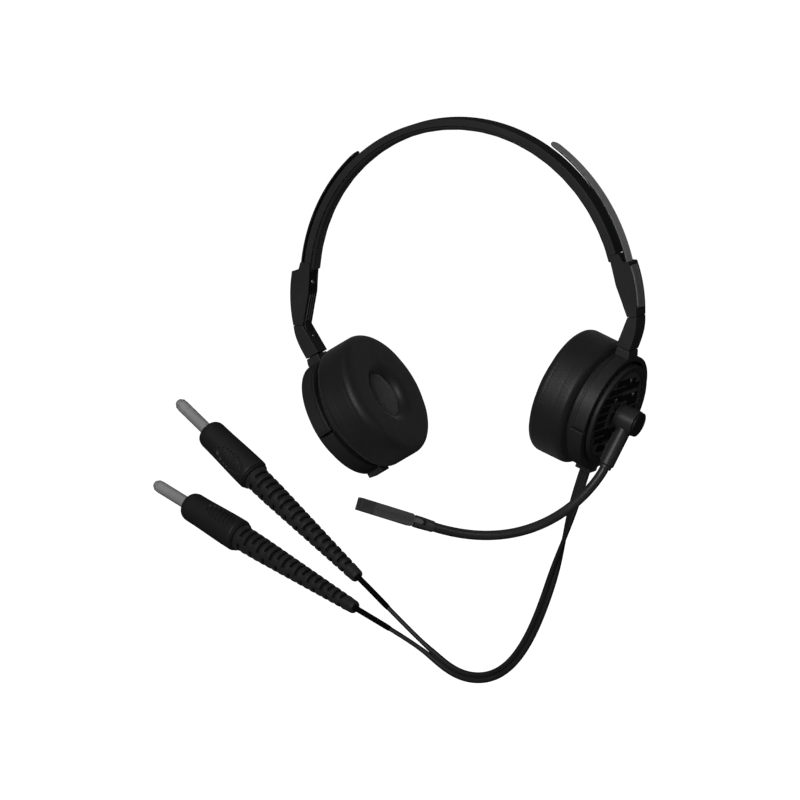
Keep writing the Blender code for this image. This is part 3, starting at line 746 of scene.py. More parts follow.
def foam_insert(label, place):
    """The domed foam that fills the cushion's dimple."""
    low, high = reach(f"{label}_foam_insert", place)
    edge, crown, rise = high.x + 0.25, low.z - 1.4, 0.35
    turns = np.linspace(0, math.pi / 2, 14)
    dome = [(edge * math.sin(t), crown + rise - rise * math.cos(t)) for t in turns]
    mesh = turned(dome + [(edge, high.z), (0, high.z)], 96)
    for vertex in mesh.vertices:
        x, y, z = vertex.co / MM
        if z < low.z + 2:
            vertex.co.z += 0.10 * MM * noise.noise(Vector((x, y, 0)) * 0.35)
    stand_in(f"{label}_foam_insert", mesh, FOAM, place, f"{label}_cup", 50)


# ---------------------------------------------------------------- adjusters


BLOCK_BACK, BLOCK_BACK_R = (28.0, -88.0), 70.0
SCREW_ANGLE = 5.8
RAIL_SLOT = (93.15, 94.6)  # inner and outer radius of the room for a rail with no offset
RAIL_OUT = {1: 0.9, -1: -1.5}  # how far each rail as drawn stands out from its CAD node; minus is in


def radial(side, angle):
    """A placement at the band's centre whose local z points out along a radius."""
    turn = math.radians(angle)
    return frame_of(ARC, (side * math.cos(turn), 0, math.sin(turn)), (0, 1, 0))


def slider_block(side, label):
    """The block at the band's end, with its recess, ribs, rail slot and inlay pocket."""
    half = reach(f"{label}_slider_block")[1].y
    centre = (0, ARC.z)
    band_end = [(86.9, 12.5), (92.4, 12.3)]
    step = [(r * math.cos(math.radians(a)), ARC.z + r * math.sin(math.radians(a))) for r, a in band_end]
    inner = [(92.0, -97.1), (89.4, -88), (87.3, -81), (86.2, -74)]
    back = arc(BLOCK_BACK, BLOCK_BACK_R, 15.5, -7.5, 1.5)
    outline = mirrored(inner + step + [(91.9, -69.0)] + back, side)
    body = softened(slab(outline, half), 0.22, 3, 48)
    spring_room = sector(88.3, 90.1, 2.1, 17, 2, centre)
    rail_room = sector(*(r + RAIL_OUT[side] for r in RAIL_SLOT), -16, 18, 2, centre)
    inlay_room = sector(69.1, 73, -4.5, 14.6, 1.5, BLOCK_BACK)
    recess = rounded(sector(80, 87.65, 2.2, 9.6, 2, centre), 0.4)
    tools = [
        (slab(mirrored(spring_room, side), 3.7), WORLD),
        (slab(mirrored(rail_room, side), 3.8), WORLD),
        (slab(mirrored(inlay_room, side), 4.4), WORLD),
        (slab(mirrored(recess, side), 4.6), WORLD),
        (rod(1.0, 80, 92.9), radial(side, SCREW_ANGLE)),
    ]
    top, bottom = Vector((87.6, 0, -81.6)), Vector((92.4, 0, -95.9))
    along = (bottom - top).normalized()
    inward = Vector((along.z, 0, -along.x))
    for y in (-3.6, -1.2, 1.2, 3.6):
        corners = [top - inward * 1.3, bottom - inward * 1.3, bottom + inward, top + inward]
        tools.append((slab([(side * p.x, p.z) for p in corners], 0.78, y), WORLD))
    mesh = cut(body, WORLD, *tools)
    name = f"{label}_slider_block"
    stand_in(name, mesh, MOULDING, WORLD, "headband", 30)

    # A near-black sheet on the recess floor is painted shade, so the shallow recess reads as deep.
    floor_r = 87.65
    shade_sheet = slab(mirrored(sector(floor_r - 0.12, floor_r, 2.3, 9.5, 1, centre), side), 4.5)
    shade_sheet = cut(shade_sheet, WORLD, (rod(1.5, 80, 92.9), radial(side, SCREW_ANGLE)))
    piece(f"{label}_block_recess_shade_sheet", shade_sheet, RECESS_SHADE, WORLD, "headband", sharp=30)

    ribs = []
    for y in (-2.4, 0.0, 2.4):
        line = [Vector((side * x, y, z)) for x, z in ((87.6, -82.0), (89.45, -88.0), (91.45, -95.2))]
        ribs.append(pipe(line, 0.36, 16))
    # The ribs take the lighter moulding: painted highlight on their crests.
    piece(f"{label}_block_ribs", merged(ribs), GRILLE_HIGHLIGHT, WORLD, "headband", sharp=50)

    inlay = rounded(sector(69.2, 70.05, -4.0, 14.1, 1.5, BLOCK_BACK), 0.22, count=3)
    plate_mesh = softened(slab(mirrored(inlay, side), 4.05), 0.2, 2, 50)
    ridge = rounded(sector(69.9, 70.35, -3.2, 13.3, 1.5, BLOCK_BACK), 0.15, count=2)
    ridge_mesh = softened(slab(mirrored(ridge, side), 1.5, -2.1), 0.12, 2, 50)
    name = f"{label}_block_inlay"
    stand_in(
        name, joined(plate_mesh, WORLD, (ridge_mesh, WORLD)), PLATE, WORLD, "headband",
        30,
    )
    name = f"{label}_block_screw"
    head = screw(0.7, 1.3, 4.0, 0.62)
    at = radial(side, SCREW_ANGLE) @ Matrix.Translation((0, 0, 87.35))
    stand_in(name, head, FASTENER, at, "headband")


def screw(shank, head, length, tall):
    """A pan-head screw with a cross recess; its head lies below z = 0 and its shank runs up."""
    crown = [(head * math.cos(t), -tall * math.sin(t)) for t in np.linspace(0, math.pi / 2, 8)]
    mesh = turned([(0, length), (shank, length), (shank, 0), *crown], 40)
    bars = []
    for a, b in ((0.14, 0.62), (0.62, 0.14)):
        bars.append((box((-a * head, -b * head, -tall - 1), (a * head, b * head, -tall * 0.35)), WORLD))
    return cut(mesh, WORLD, *bars)


def rail(side, label):
    """A thin strip bent to the band's arc, with a half-round end and rolled edges."""
    low, high, half, start, high_angle = sweep_of("right_rail")
    low, high = low + RAIL_OUT[side], high + RAIL_OUT[side]
    middle = (low + high) / 2
    round_start = high_angle - math.degrees(half / middle)
    angles = [(a, half) for a in np.arange(start, round_start, 1.0)]
    for turn in np.radians(np.linspace(0, 88, 16)):
        angles.append((round_start + math.degrees(half * math.sin(turn) / middle), half * math.cos(turn)))
    fillet = 0.22
    rings = []
    for angle, reach_y in angles:
        a = math.radians(angle)
        section = rounded([(low, -1), (high, -1), (high, 1), (low, 1)], fillet, count=3)
        ring = []
        for r, y in section:
            edge = 1 - abs(y)
            wide = math.copysign(max(reach_y - edge, 0.02), y)
            ring.append((side * r * math.cos(a), wide, ARC.z + r * math.sin(a)))
        rings.append(ring)
    mesh = skin(rings)
    strip = stand_in(f"{label}_rail", mesh, RAIL, WORLD, f"{label}_arm", 40)
    # Faces that do not face out along the radius take the dark copy: painted shade.
    second_material_on(strip, RAIL_SHADE, lambda at, normal: normal.dot((at - ARC).normalized()) < 0.7)


def arm(side, label):
    """The bent arm under the block, with a counterbored hole for its screw."""
    half = reach(f"{label}_arm")[1].y
    handles = [(97.35, -97.3), (97.2, -102.0), (96.2, -106.2), (91.6, -114.4)]
    bend = bezier(*map(Vector, handles), 14)
    outline = [(92.2, -97.3), *map(tuple, bend), (84.75, -111.1)]
    body = softened(slab(mirrored(outline, side), half), 0.22, 3, 40)
    hole = frame_of((side * 89.1, 0, -103.1), (side * 0.877, 0, -0.48), (0, 1, 0))
    rail_room = sector(93.2 + RAIL_OUT[side], 94.55 + RAIL_OUT[side], -14.5, -4, 2, (0, ARC.z))
    swivel = swivel_place(side)
    mesh = cut(
        body, WORLD,
        (slab(mirrored(rail_room, side), 3.8), WORLD),
        (rod(0.9, -2, 5.2), hole),
        (turned([(0, -3), (1.7, -3), (1.7, -0.05), (1.35, 0.35), (0, 0.35)], 40), hole),
        (rod(1.8, 20, 40), swivel),
    )
    stand_in(f"{label}_arm", mesh, MOULDING, WORLD, f"{label}_arm", 30)
    head = screw(0.6, 1.0, 4.8, 0.5)
    name = f"{label}_arm_screw"
    stand_in(name, head, DRIVER, hole, f"{label}_arm")


def swivel_place(side):
    """Local z runs up the swivel axis from the cup's middle."""
    place = cup_place(side)
    up = place.to_3x3().col[1]
    foot = joint_point(f"{LABELS[side]}_swivel")
    foot += up * (place.translation - foot).dot(up)
    return frame_of(foot, up, (0, 1, 0))


def tilt_place(place):
    return place @ Matrix.Translation((0, 0, TILT_Z)) @ Matrix.Rotation(math.radians(90), 4, "Y")


def outlet_place(place):
    return place @ Matrix.Translation((0, 0, 22.0)) @ Matrix.Rotation(math.radians(90), 4, "X")


def yoke(side, label, place):
    """The half ring round the cup: a raised lip, an inset band, and the stub under the arm."""
    high = reach(f"{label}_yoke", place)[1]
    inner, outer, drop = 28.4, 31.1, 10.0
    bottom, top = 18.8, high.z
    ring = softened(plate(sector(inner, outer, -drop, 180 + drop, 1.5), bottom, top), 0.35, 3, 48)
    side_view = place @ Matrix.Rotation(math.radians(-90), 4, "Y")
    stub_top = high.y
    stub = [(18.8, 29.0), (26.7, 29.0), (26.7, 31.6), (25.8, stub_top), (18.7, stub_top)]
    stub = softened(plate(rounded(stub, 0.8, count=4), -5.3, 5.3), 0.4, 3, 48)
    mesh = joined(ring, place, (stub, side_view))
    lip, line, depth = 1.3, 0.42, 0.4
    tools = []
    for start, end in ((-drop + 2.2, 78), (102, 180 + drop - 2.2)):
        hoop = sector(outer - depth, outer + 1, start, end, 1.5)
        tools.append((plate(hoop, bottom + lip, bottom + lip + line), place))
    for angle in (-drop + 2.2, 180 + drop - 3.0):
        end_line = sector(outer - depth, outer + 1, angle, angle + 0.8)
        tools.append((plate(end_line, bottom + lip, top + 1), place))
    for angle in (-drop + 4.4, 180 + drop - 4.4):
        middle = (29.75 * math.cos(math.radians(angle)), 29.75 * math.sin(math.radians(angle)), bottom)
        socket = turned([(0, -1), (0.95, -1), (0.95, 0.7), (0, 0.9)], 32)
        tools.append((socket, place @ Matrix.Translation(middle)))
    tools.append((rod(1.8, 20, 40), swivel_place(side)))
    mesh = cut(mesh, place, *tools)
    stand_in(f"{label}_yoke", mesh, MOULDING, place, f"{label}_yoke", 30)


# ---------------------------------------------------------------- cups


def cup_housing(label, place, bored):
    """The cup shell with its flange, ribbed gap, and the lower band level with the yoke."""
    low, high = reach(f"{label}_cup_housing", place)
    hole = 3.4 if bored else 0
    top, flange_r, neck_r = high.z, 27.3, 27.0
    outer = rounded([(hole, top), (neck_r, top), (neck_r, 17.8), (flange_r, 17.6), (flange_r, low.z)],
                    0.3, closed=False, count=3)
    shell = outer + [(25.4, low.z), (25.4, top - 1.6), (hole, top - 1.6)]
    body = turned(shell, 120, closed=bored)
    start, end = 192.5, 347.5
    bottom, upper = 18.8, 26.7
    skirt = softened(plate(sector(26.3, 31.1, start, end, 1.5), bottom, upper), 0.35, 3, 48)
    mesh = joined(body, place, (skirt, place))
    depth = 0.25
    tools = [
        (rod(1.5, -40, 40), tilt_place(place)),
        (rod(3.3, 20, 40), outlet_place(place)),
    ]
    for angle in (start + 3.0, end - 3.6):
        tools.append((plate(sector(31.1 - depth, 32, angle, angle + 0.6), bottom - 1, upper + 1), place))
    mesh = cut(mesh, place, *tools)
    name = f"{label}_cup_housing"
    stand_in(name, mesh, MOULDING, place, f"{label}_cup", 30)
    teeth = []
    for k in range(46):
        angle = -8 + k * 196 / 45
        tooth = sector(26.8, 27.6, angle - 1.1, angle + 1.1, 1.1)
        teeth.append(plate(tooth, 16.4, 18.2))
    piece(f"{label}_gap_ribs", merged(teeth), MOULDING, place, f"{label}_cup", sharp=30)


def bezel(label, place):
    """The ring round the grille, with a fluted inner wall."""
    low, high = reach(f"{label}_bezel", place)
    outline = [(25.0, high.z), (26.6, high.z), (27.0, 28.8), (27.0, low.z), (23.9, low.z), (23.9, 28.9)]
    ring = turned(rounded(outline, 0.35, count=4), 132, closed=True)
    name = f"{label}_bezel"
    stand_in(name, ring, MOULDING, place, f"{label}_cup", 40)
    flutes = []
    for k in range(40):
        angle = k * 9.0
        flutes.append(plate(sector(23.35, 24.1, angle, angle + 5.2, 1.3), 28.0, 28.75))
    mesh = merged(flutes)
    piece(f"{label}_bezel_flutes", mesh, MOULDING, place, f"{label}_cup", sharp=30)


def grille(side, label, place, bored):
    """Slender bars that run front to back with a jog in the middle, over slot floors painted near-black as
    painted shade.
    """
    low, high = reach(f"{label}_grille", place)
    pitch, bar, disc_r, reach_r = 4.45, 0.42, 23.6, 22.4
    base, top = low.z, high.z
    disc = turned(rounded([(0, base), (disc_r, base), (disc_r, top), (0, top)], 0.2, closed=False), 120)
    tools = []
    hub = 8.4
    for row in range(-5, 6):
        y = pitch * row
        edge = max(abs(y - pitch / 2), abs(y + pitch / 2)) - bar / 2
        if edge >= reach_r:
            continue
        long_half = math.sqrt(reach_r**2 - edge**2)
        low_y, high_y = y - pitch / 2 + bar / 2, y + pitch / 2 - bar / 2
        spans = [(-long_half, long_half)]
        if bored and abs(row) <= 1:
            inner = math.sqrt(max(hub**2 - min(abs(low_y), abs(high_y)) ** 2, 1))
            spans = [(-long_half, -inner), (inner, long_half)]
        for a, b in spans:
            jog = 0.7 if (row % 2) else -0.7
            path = [(a, 0), (-3 + row, 0), (-1.6 + row, jog), (b, jog)]
            path = [p for p in path if a <= p[0] <= b] if b - a > 20 else [(a, 0), (b, 0)]
            if path[0][0] > a:
                path = [(a, path[0][1])] + path
            lower = [(x, low_y + j) for x, j in path]
            upper = [(x, high_y + j) for x, j in reversed(path)]
            tools.append((plate(lower + upper, base + 0.2, top + 1), place))
    if bored:
        tools.append((rod(3.4, base - 1, top + 1), place))
    mesh = cut(disc, place, *tools)
    name = f"{label}_grille"
    # The bars take the lighter moulding: painted highlight.
    bars = stand_in(name, mesh, GRILLE_HIGHLIGHT, place, f"{label}_cup", 30)
    # The slot floors are painted near-black: painted shade.
    second_material_on(bars, RECESS_SHADE, lambda at, normal: at.z < top - 0.3 and math.hypot(at.x, at.y) < disc_r - 0.4)
    heads = []
    for x, y in ((4.4, 17.9), (12.7, 9.0), (-6.1, 8.8), (0.5, -17.6)):
        head = screw(0.6, 1.15, 0.5, 0.55)
        head.transform(Matrix.Rotation(math.pi, 4, "X"))
        head.transform(Matrix.Translation(Vector((x * side, y, top - 0.05)) * MM))
        heads.append(head)
    piece(f"{label}_grille_screws", merged(heads), FASTENER, place, f"{label}_cup")


def outlet(label, place, bored):
    """The fitting at the cup's foot: the lead's grommet on the right, a blank on the left."""
    name = f"{label}_lead_grommet" if bored else f"{label}_outlet_blank"
    at = outlet_place(place)
    low, high = reach(name, at)
    base, top = 30.3, high.z
    outline = rounded([(low.x, low.y), (high.x, low.y), (high.x, high.y), (low.x, high.y)], 0.7, count=4)
    flange = softened(plate(outline, base, top), 0.25, 2, 48)
    neck = rod(3.0, low.z, base + 0.6, 48)
    mesh = joined(flange, at, (neck, at))
    if bored:
        room = rounded([(-2.1, -2.85), (2.1, -2.85), (2.1, 2.85), (-2.1, 2.85)], 1.2, count=4)
        mesh = cut(mesh, at, (plate(room, low.z - 1, top + 1), at))
    stand_in(name, mesh, OUTLET, at, f"{label}_cup", 35)


# ---------------------------------------------------------------- boom


def boom(place):
    """Knob, cap, sleeve and gooseneck."""
    low, high = reach("boom_knob", place)
    radius = high.x
    profile = rounded([(0, high.z), (radius, high.z), (radius, low.z), (0, low.z)], 0.6, closed=False)
    body = turned(profile, 96)
    down = sleeve_place(place)
    tools = [(rod(4.1, 3.2, 9, 48), down), (rod(2.3, 28, 33.4), place)]
    floor_r, clear_r = radius - 0.22, radius + 1
    ring = turned([(floor_r, 31.2), (clear_r, 31.0), (clear_r, 31.8), (floor_r, 31.6)], 96, True)
    tools.append((ring, place))
    stand_in("boom_knob", cut(body, place, *tools), BOOM_PAINTED_HIGHLIGHT, place, "boom", 35)

    low, high = reach("boom_knob_cap", place)
    sunk = high.z - 0.25
    cap = [(0, low.z), (high.x, low.z), (high.x, high.z), (4.9, high.z), (4.7, sunk), (0, sunk)]
    stand_in(
        "boom_knob_cap", turned(rounded(cap, 0.3, closed=False), 96), DARK, place, "boom",
        40,
    )
    sleeve(down)
    gooseneck(down)


def sleeve_place(place):
    """Local z runs down the sleeve, found as the direction from the knob's axis to the sleeve's middle."""
    middle = Vector(points_of("boom_sleeve").mean(0))
    outward = place.to_3x3().col[2]
    origin = place.translation + outward * 35.5
    away = middle - origin
    return frame_of(origin, away - outward * away.dot(outward), outward)


SLEEVE_MORE = 2.5  # the sleeve as drawn reaches this much further down the gooseneck than its CAD node


def sleeve(down):
    low, high = reach("boom_sleeve", down)
    start, end, radius = low.z, high.z + SLEEVE_MORE, high.x
    profile = [(0, end), (3.3, end), (3.3, end - 1.6), (radius, end - 2.2), (radius, start), (0, start)]
    body = turned(rounded(profile, 0.25, closed=False), 72)
    rib = softened(box((-0.5, radius - 0.6, start + 5), (0.5, radius + 0.55, end - 3)), 0.2, 2)
    turn = Matrix.Rotation(math.radians(139), 4, "Z")
    mesh = joined(body, down, (rib, down @ turn))
    mesh = cut(mesh, down, (rod(2.8, 16, 30, 48), down))
    stand_in("boom_sleeve", mesh, BOOM_PAINTED_HIGHLIGHT, down, "boom", 35)


def mic_place():
    """Local z runs along the microphone to its tip; local y is the head's height."""
    hinge = joint("mic_swivel")
    height = Vector(hinge["axis"])
    pin = joint_point("mic_swivel")
    tip = Vector(points_of("mic_tip").mean(0))
    along = (tip - pin).normalized()
    return frame_of(pin - along * 9.2, along, height)


def gooseneck(down):
    """The smooth bendable tube from the sleeve to the collar."""
    radius = 2.45
    mic = mic_place()
    start, along = mic.translation, mic.to_3x3().col[2]
    direction = down.to_3x3().col[2]
    root = down @ Vector((0, 0, reach("boom_sleeve", down)[1].z + SLEEVE_MORE))
    path = [down @ Vector((0, 0, 17.0)), down @ Vector((0, 0, 21.0))]
    path += bezier(root, root + direction * 9, start - along * 64, start, 90)
    path.append(start + along * 3.4)
    stand_in("gooseneck", pipe(path, radius, 28), GOOSENECK_PAINTED_HIGHLIGHT, WORLD, "boom", 50)


MIC_ROLL = -12  # degrees that the flat head, as drawn, is rolled about its length


def microphone():
    """The forked collar, its pin, and the flat head that swivels in it."""
    place = mic_place()
    upright = place @ Matrix.Translation((0, 0, 9.2)) @ Matrix.Rotation(math.radians(-90), 4, "X")
    _, top = reach("mic_collar", place)
    radius, length = top.x, top.z
    profile = [(0, length), (3.1, length), (radius, 10.8), (radius, 7.6)]
    profile += [(2.95, 2.0), (2.95, 0.6), (2.7, 0), (0, 0)]
    collar = turned(rounded(profile, 0.25, closed=False), 72)
    fork = [(-1.35, 20), (-1.35, 5.9), (0, 5.0), (1.35, 5.9), (1.35, 20)]
    collar = cut(
        collar, place,
        (rod(2.6, -2, 4.0, 48), place),
        (skin([[(x, y, z) for y, z in fork] for x in (-6, 6)]), place),
        (rod(0.9, -6, 6), upright),
        (turned([(2.78, 1.2), (4, 1.2), (4, 1.6), (2.78, 1.6)], 72, True), place),
    )
    # The collar's lighter moulding is painted highlight.
    stand_in("mic_collar", collar, MIC_END_PAINTED_HIGHLIGHT, place, "boom", 35)
    pin = turned(rounded([(0, -3.0), (0.6, -3.0), (0.6, 3.0), (0, 3.0)], 0.2, closed=False), 32)
    stand_in("mic_pin", pin, FASTENER, upright, "boom")

    tip_low, tip_high = reach("mic_tip", place)
    deep, half, base = tip_high.x, tip_high.y, 12.4
    end = tip_low.z - 0.04
    rolled = place @ Matrix.Rotation(math.radians(MIC_ROLL), 4, "Z")
    face = rounded([(-deep, -half), (deep, -half), (deep, half), (-deep, half)], 0.4, count=4)
    shell = softened(plate(face, base, end), 0.12, 2, 60)
    rings = []
    for x, nose in ((-2.8, 7.0), (-1.9, 6.0), (1.9, 6.0), (2.8, 7.0)):
        outline = [(nose, 0.0), (nose + 1.1, 1.2), (base + 2, 1.2), (base + 2, -1.2), (nose + 1.1, -1.2)]
        rings.append([(x, y, z) for z, y in outline])
    tongue = skin(rings)
    shoulders = []
    for y in (-half, half):
        wedge = [(base - 1, 0.45 * y), (base + 1.5, y * 1.0), (base + 1.5, y * 1.3), (base - 1, y * 1.3)]
        shoulders.append((skin([[(x, yy, z) for z, yy in wedge] for x in (-6, 6)]), rolled))
    body = joined(shell, rolled, (tongue, place))
    grooves = []
    for x in (-deep, deep):
        grooves.append((box((x - 0.18, -0.16, base + 1), (x + 0.18, 0.16, end + 1)), rolled))
    for k in range(5):
        z = base + 7.0 + 2.6 * k
        grooves.append((box((-deep - 1, 1.2, z), (-deep + 0.35, 2.3, z + 0.9)), rolled))
    room = box((-2.0, -2.0, base + 6), (2.0, 2.0, end + 9))
    body = cut(body, rolled, (room, rolled), (rod(0.9, -6, 6), upright), *shoulders, *grooves)
    # The head's lighter moulding is painted highlight.
    stand_in("mic_body", body, MIC_PAINTED_HIGHLIGHT, rolled, "mic_head", 30)

    cap = softened(plate(face, tip_low.z, tip_high.z), 0.15, 2, 60)
    slots = []
    for x in (-deep, deep):
        slots.append((box((x - 0.18, -0.16, tip_low.z - 1), (x + 0.18, 0.16, tip_high.z - 1.4)), rolled))
    stand_in("mic_tip", cut(cap, rolled, *slots), MIC_END_PAINTED_HIGHLIGHT, rolled, "mic_head", 30)


# ---------------------------------------------------------------- lead


LEAD_LOW = Vector((-17.3, 8.6, -281.2))
LEAD_SPLIT = Vector((-46.0, 13.7, -268.6))
STRAND_R, STRAND_PITCH = 1.25, 2.8
PAIR_WIDE, PAIR_THICK, LEG_R = 1.41, 1.15, 1.18
FLAT_RUN, BLACK_END = 42.0, 24.0


def strand_side(ahead, share):
    """The direction from one strand to the other, turning about the lead as share goes 0 to 1."""
    ahead = ahead.normalized()
    front = Vector((0.46, -0.88, 0.1))
    facing = (front - ahead * ahead.dot(front)).normalized()
    level = facing.cross(ahead)
    turn = math.pi * ramp(share, 0.02, 0.36)
    return level * math.cos(turn) + facing * math.sin(turn)


def plug_place(label):
    """Local z runs from the cable's socket to the tip, read from the shaft and the boot."""
    shaft = Vector(points_of(f"{label}_plug_shaft").mean(0))
    boot = Vector(points_of(f"{label}_plug_boot").mean(0))
    rough_place = frame_of(boot, shaft - boot, (0, 0, 1))
    for _ in range(3):
        ends = []
        for node in ("plug_boot", "plug_shaft"):
            low, high = reach(f"{label}_{node}", rough_place)
            middle = (low + high) / 2
            level = low.z if node == "plug_boot" else high.z
            ends.append(rough_place @ Vector((middle.x, middle.y, level)))
        rough_place = frame_of(ends[0], ends[1] - ends[0], (0, 0, 1))
    return rough_place


def band_pipe(points, sides, wide, thick, steps=24):
    """A tube along points with an oval section, wide along each side direction."""
    lengths = np.cumsum([0] + [(b - a).length for a, b in zip(points, points[1:])])
    rings = []
    for i, p in enumerate(points):
        ahead = (points[min(i + 1, len(points) - 1)] - points[max(i - 1, 0)]).normalized()
        across = (sides[i] - ahead * ahead.dot(sides[i])).normalized()
        other = ahead.cross(across)
        a, b = wide(lengths[i]), thick(lengths[i])
        turns = [2 * math.pi * k / steps for k in range(steps)]
        rings.append([p + across * (math.cos(t) * a) + other * (math.sin(t) * b) for t in turns])
    return skin(rings)


def lead(place):
    """Two strands side by side that turn half a turn on the way to the split, with black strain reliefs."""
    outward, up = place.to_3x3().col[2], place.to_3x3().col[1]
    exit_point = place.translation + outward * 22.0 - up * 30.0
    leave = exit_point - up * 58
    first = bezier(exit_point, leave, LEAD_LOW + Vector((36, -5, 0)), LEAD_LOW, 80)[:-1]
    to_split = LEAD_SPLIT + Vector((6.4, -0.8, -4.8))
    second = bezier(LEAD_LOW, LEAD_LOW + Vector((-14, 2.3, 0)), to_split, LEAD_SPLIT, 24)
    path = first + second
    sides = []
    for i in range(len(path)):
        ahead = path[min(i + 1, len(path) - 1)] - path[max(i - 1, 0)]
        sides.append(strand_side(ahead, i / (len(path) - 1)))
    for label, sign in (("upper", 1), ("lower", -1)):
        points = [p + sign * across * STRAND_PITCH / 2 for p, across in zip(path, sides)]
        plug = plug_place(label)
        socket, axis = plug.translation, plug.to_3x3().col[2]
        run = (points[-1] - points[-2]).normalized()
        leg = bezier(points[-1], points[-1] + run * 12, socket - axis * 14, socket, 40)
        whole = points + leg[1:] + [socket + axis * 6.5]
        spans = [(b - a).length for a, b in zip(whole, whole[1:])]
        parting = sum(spans[: len(points) - 1])

        def wide(length):
            return PAIR_WIDE + (LEG_R - PAIR_WIDE) * ramp(length, parting - 4, parting + 10)

        def thick(length):
            return PAIR_THICK + (LEG_R - PAIR_THICK) * ramp(length, parting - 4, parting + 10)

        across = sides + [sides[-1]] * (len(whole) - len(sides))
        name = f"lead_strand_{label}"
        mesh = band_pipe(whole, across, wide, thick)
        stand_in(name, mesh, LEAD, WORLD, "right_cup", 60)
        relief = [p for p in leg if (p - socket).length < BLACK_END] + [socket + axis * 1.0]
        mesh = pipe(relief, lambda share: STRAND_R + 0.25 * min(1.0, share / 0.08), 24)
        piece(f"lead_relief_{label}", mesh, LEAD_DARK, WORLD, "right_cup", sharp=60)

    def fill(length):
        return 0.42 + (PAIR_THICK - 0.46) * (1 - ramp(length, FLAT_RUN - 14, FLAT_RUN))

    mesh = band_pipe(path, sides, lambda length: STRAND_PITCH / 2 + 0.2, fill)
    piece("lead_web", mesh, LEAD, WORLD, "right_cup", sharp=60)
    bridge = [path[-1] - (path[-1] - path[-4]) * 0.6, path[-1], path[-1] + (path[-1] - path[-4]) * 0.12]
    mesh = pipe(bridge, lambda share: 0.95 - 0.5 * share, 16)
    piece("lead_split_web", mesh, LEAD, WORLD, "right_cup", sharp=60)


# ---------------------------------------------------------------- plugs


def radial_skin(rows, radius, sides):
    """A closed skin about local z whose radius is a function of the angle and the height."""
    rings = []
    for z in rows:
        turns = [2 * math.pi * k / sides for k in range(sides)]
        rings.append([(radius(t, z) * math.cos(t), radius(t, z) * math.sin(t), z) for t in turns])
    return skin(rings)


def ramp(value, low, high):
    """0 below low, 1 above high, smooth between."""
    share = min(1.0, max(0.0, (value - low) / (high - low)))
    return share * share * (3 - 2 * share)


def apart(a, b):
    """The angle between two directions round the axis."""
    return abs((a - b + math.pi) % (2 * math.pi) - math.pi)


BOOT_CELLS = 17
SLOT_STAGGER = 30  # degrees between one ring's slots and the next
SLOT_HALF = 66, 73  # degrees from a slot's middle to where its floor and its end lie


def boot(label, place, slot_turn):
    """The ribbed strain relief: rings joined by staggered webs, with C-shaped slots between."""
    high = reach(f"{label}_plug_boot", place)[1]
    length, thick, thin = high.z, high.x, 3.4
    start, end = 6.0, length - 1.6
    pitch = (end - start) / BOOT_CELLS

    def envelope(z):
        if z < 4:
            return thin + 0.2 * z / 4 - 0.35 * (1 - ramp(z, 0, 0.9))
        return thin + 0.2 + (thick - 0.2 - thin - 0.2) * min(1, (z - 4) / 66) + 0.2 * ramp(z, 70, length)

    def radius(turn, z):
        base = envelope(z)
        cell = (z - start) / pitch
        number, share = math.floor(cell), cell - math.floor(cell)
        if number < 0 or number >= BOOT_CELLS:
            return base
        along = ramp(share, 0.24, 0.30) * (1 - ramp(share, 0.68, 0.74))
        centre = slot_turn - math.radians(SLOT_STAGGER * (number % 2))
        nearest = min(apart(turn, centre), apart(turn, centre + math.pi))
        round_it = 1 - ramp(nearest, *map(math.radians, SLOT_HALF))
        crown = 0.22 * math.sin(math.pi * min(1.0, max(0.0, (share + 0.3) % 1.0 / 0.6)))
        return base - along * round_it * min(1.5, base * 0.3) + crown * (1 - along) * 0.6

    rows = [0, 0.3, 0.6, 0.9, 2, 4]
    marks = (0, 0.12, 0.24, 0.27, 0.30, 0.42, 0.56, 0.68, 0.71, 0.74, 0.87)
    for number in range(BOOT_CELLS):
        rows += [start + pitch * (number + share) for share in marks]
    rows += [end, end + 0.8, length - 0.35, length]
    mesh = radial_skin(rows, radius, 120)
    mesh = cut(mesh, place, (rod(STRAND_R + 0.55, -2, 5.5, 40), place))
    made = stand_in(f"{label}_plug_boot", mesh, BOOT, place, "right_cup", 32)

    def in_slot(at, _):
        return start < at.z < end and envelope(at.z) - math.hypot(at.x, at.y) > 0.6

    # The slot floors are painted near-black: painted shade.
    second_material_on(made, RECESS_SHADE, in_slot)


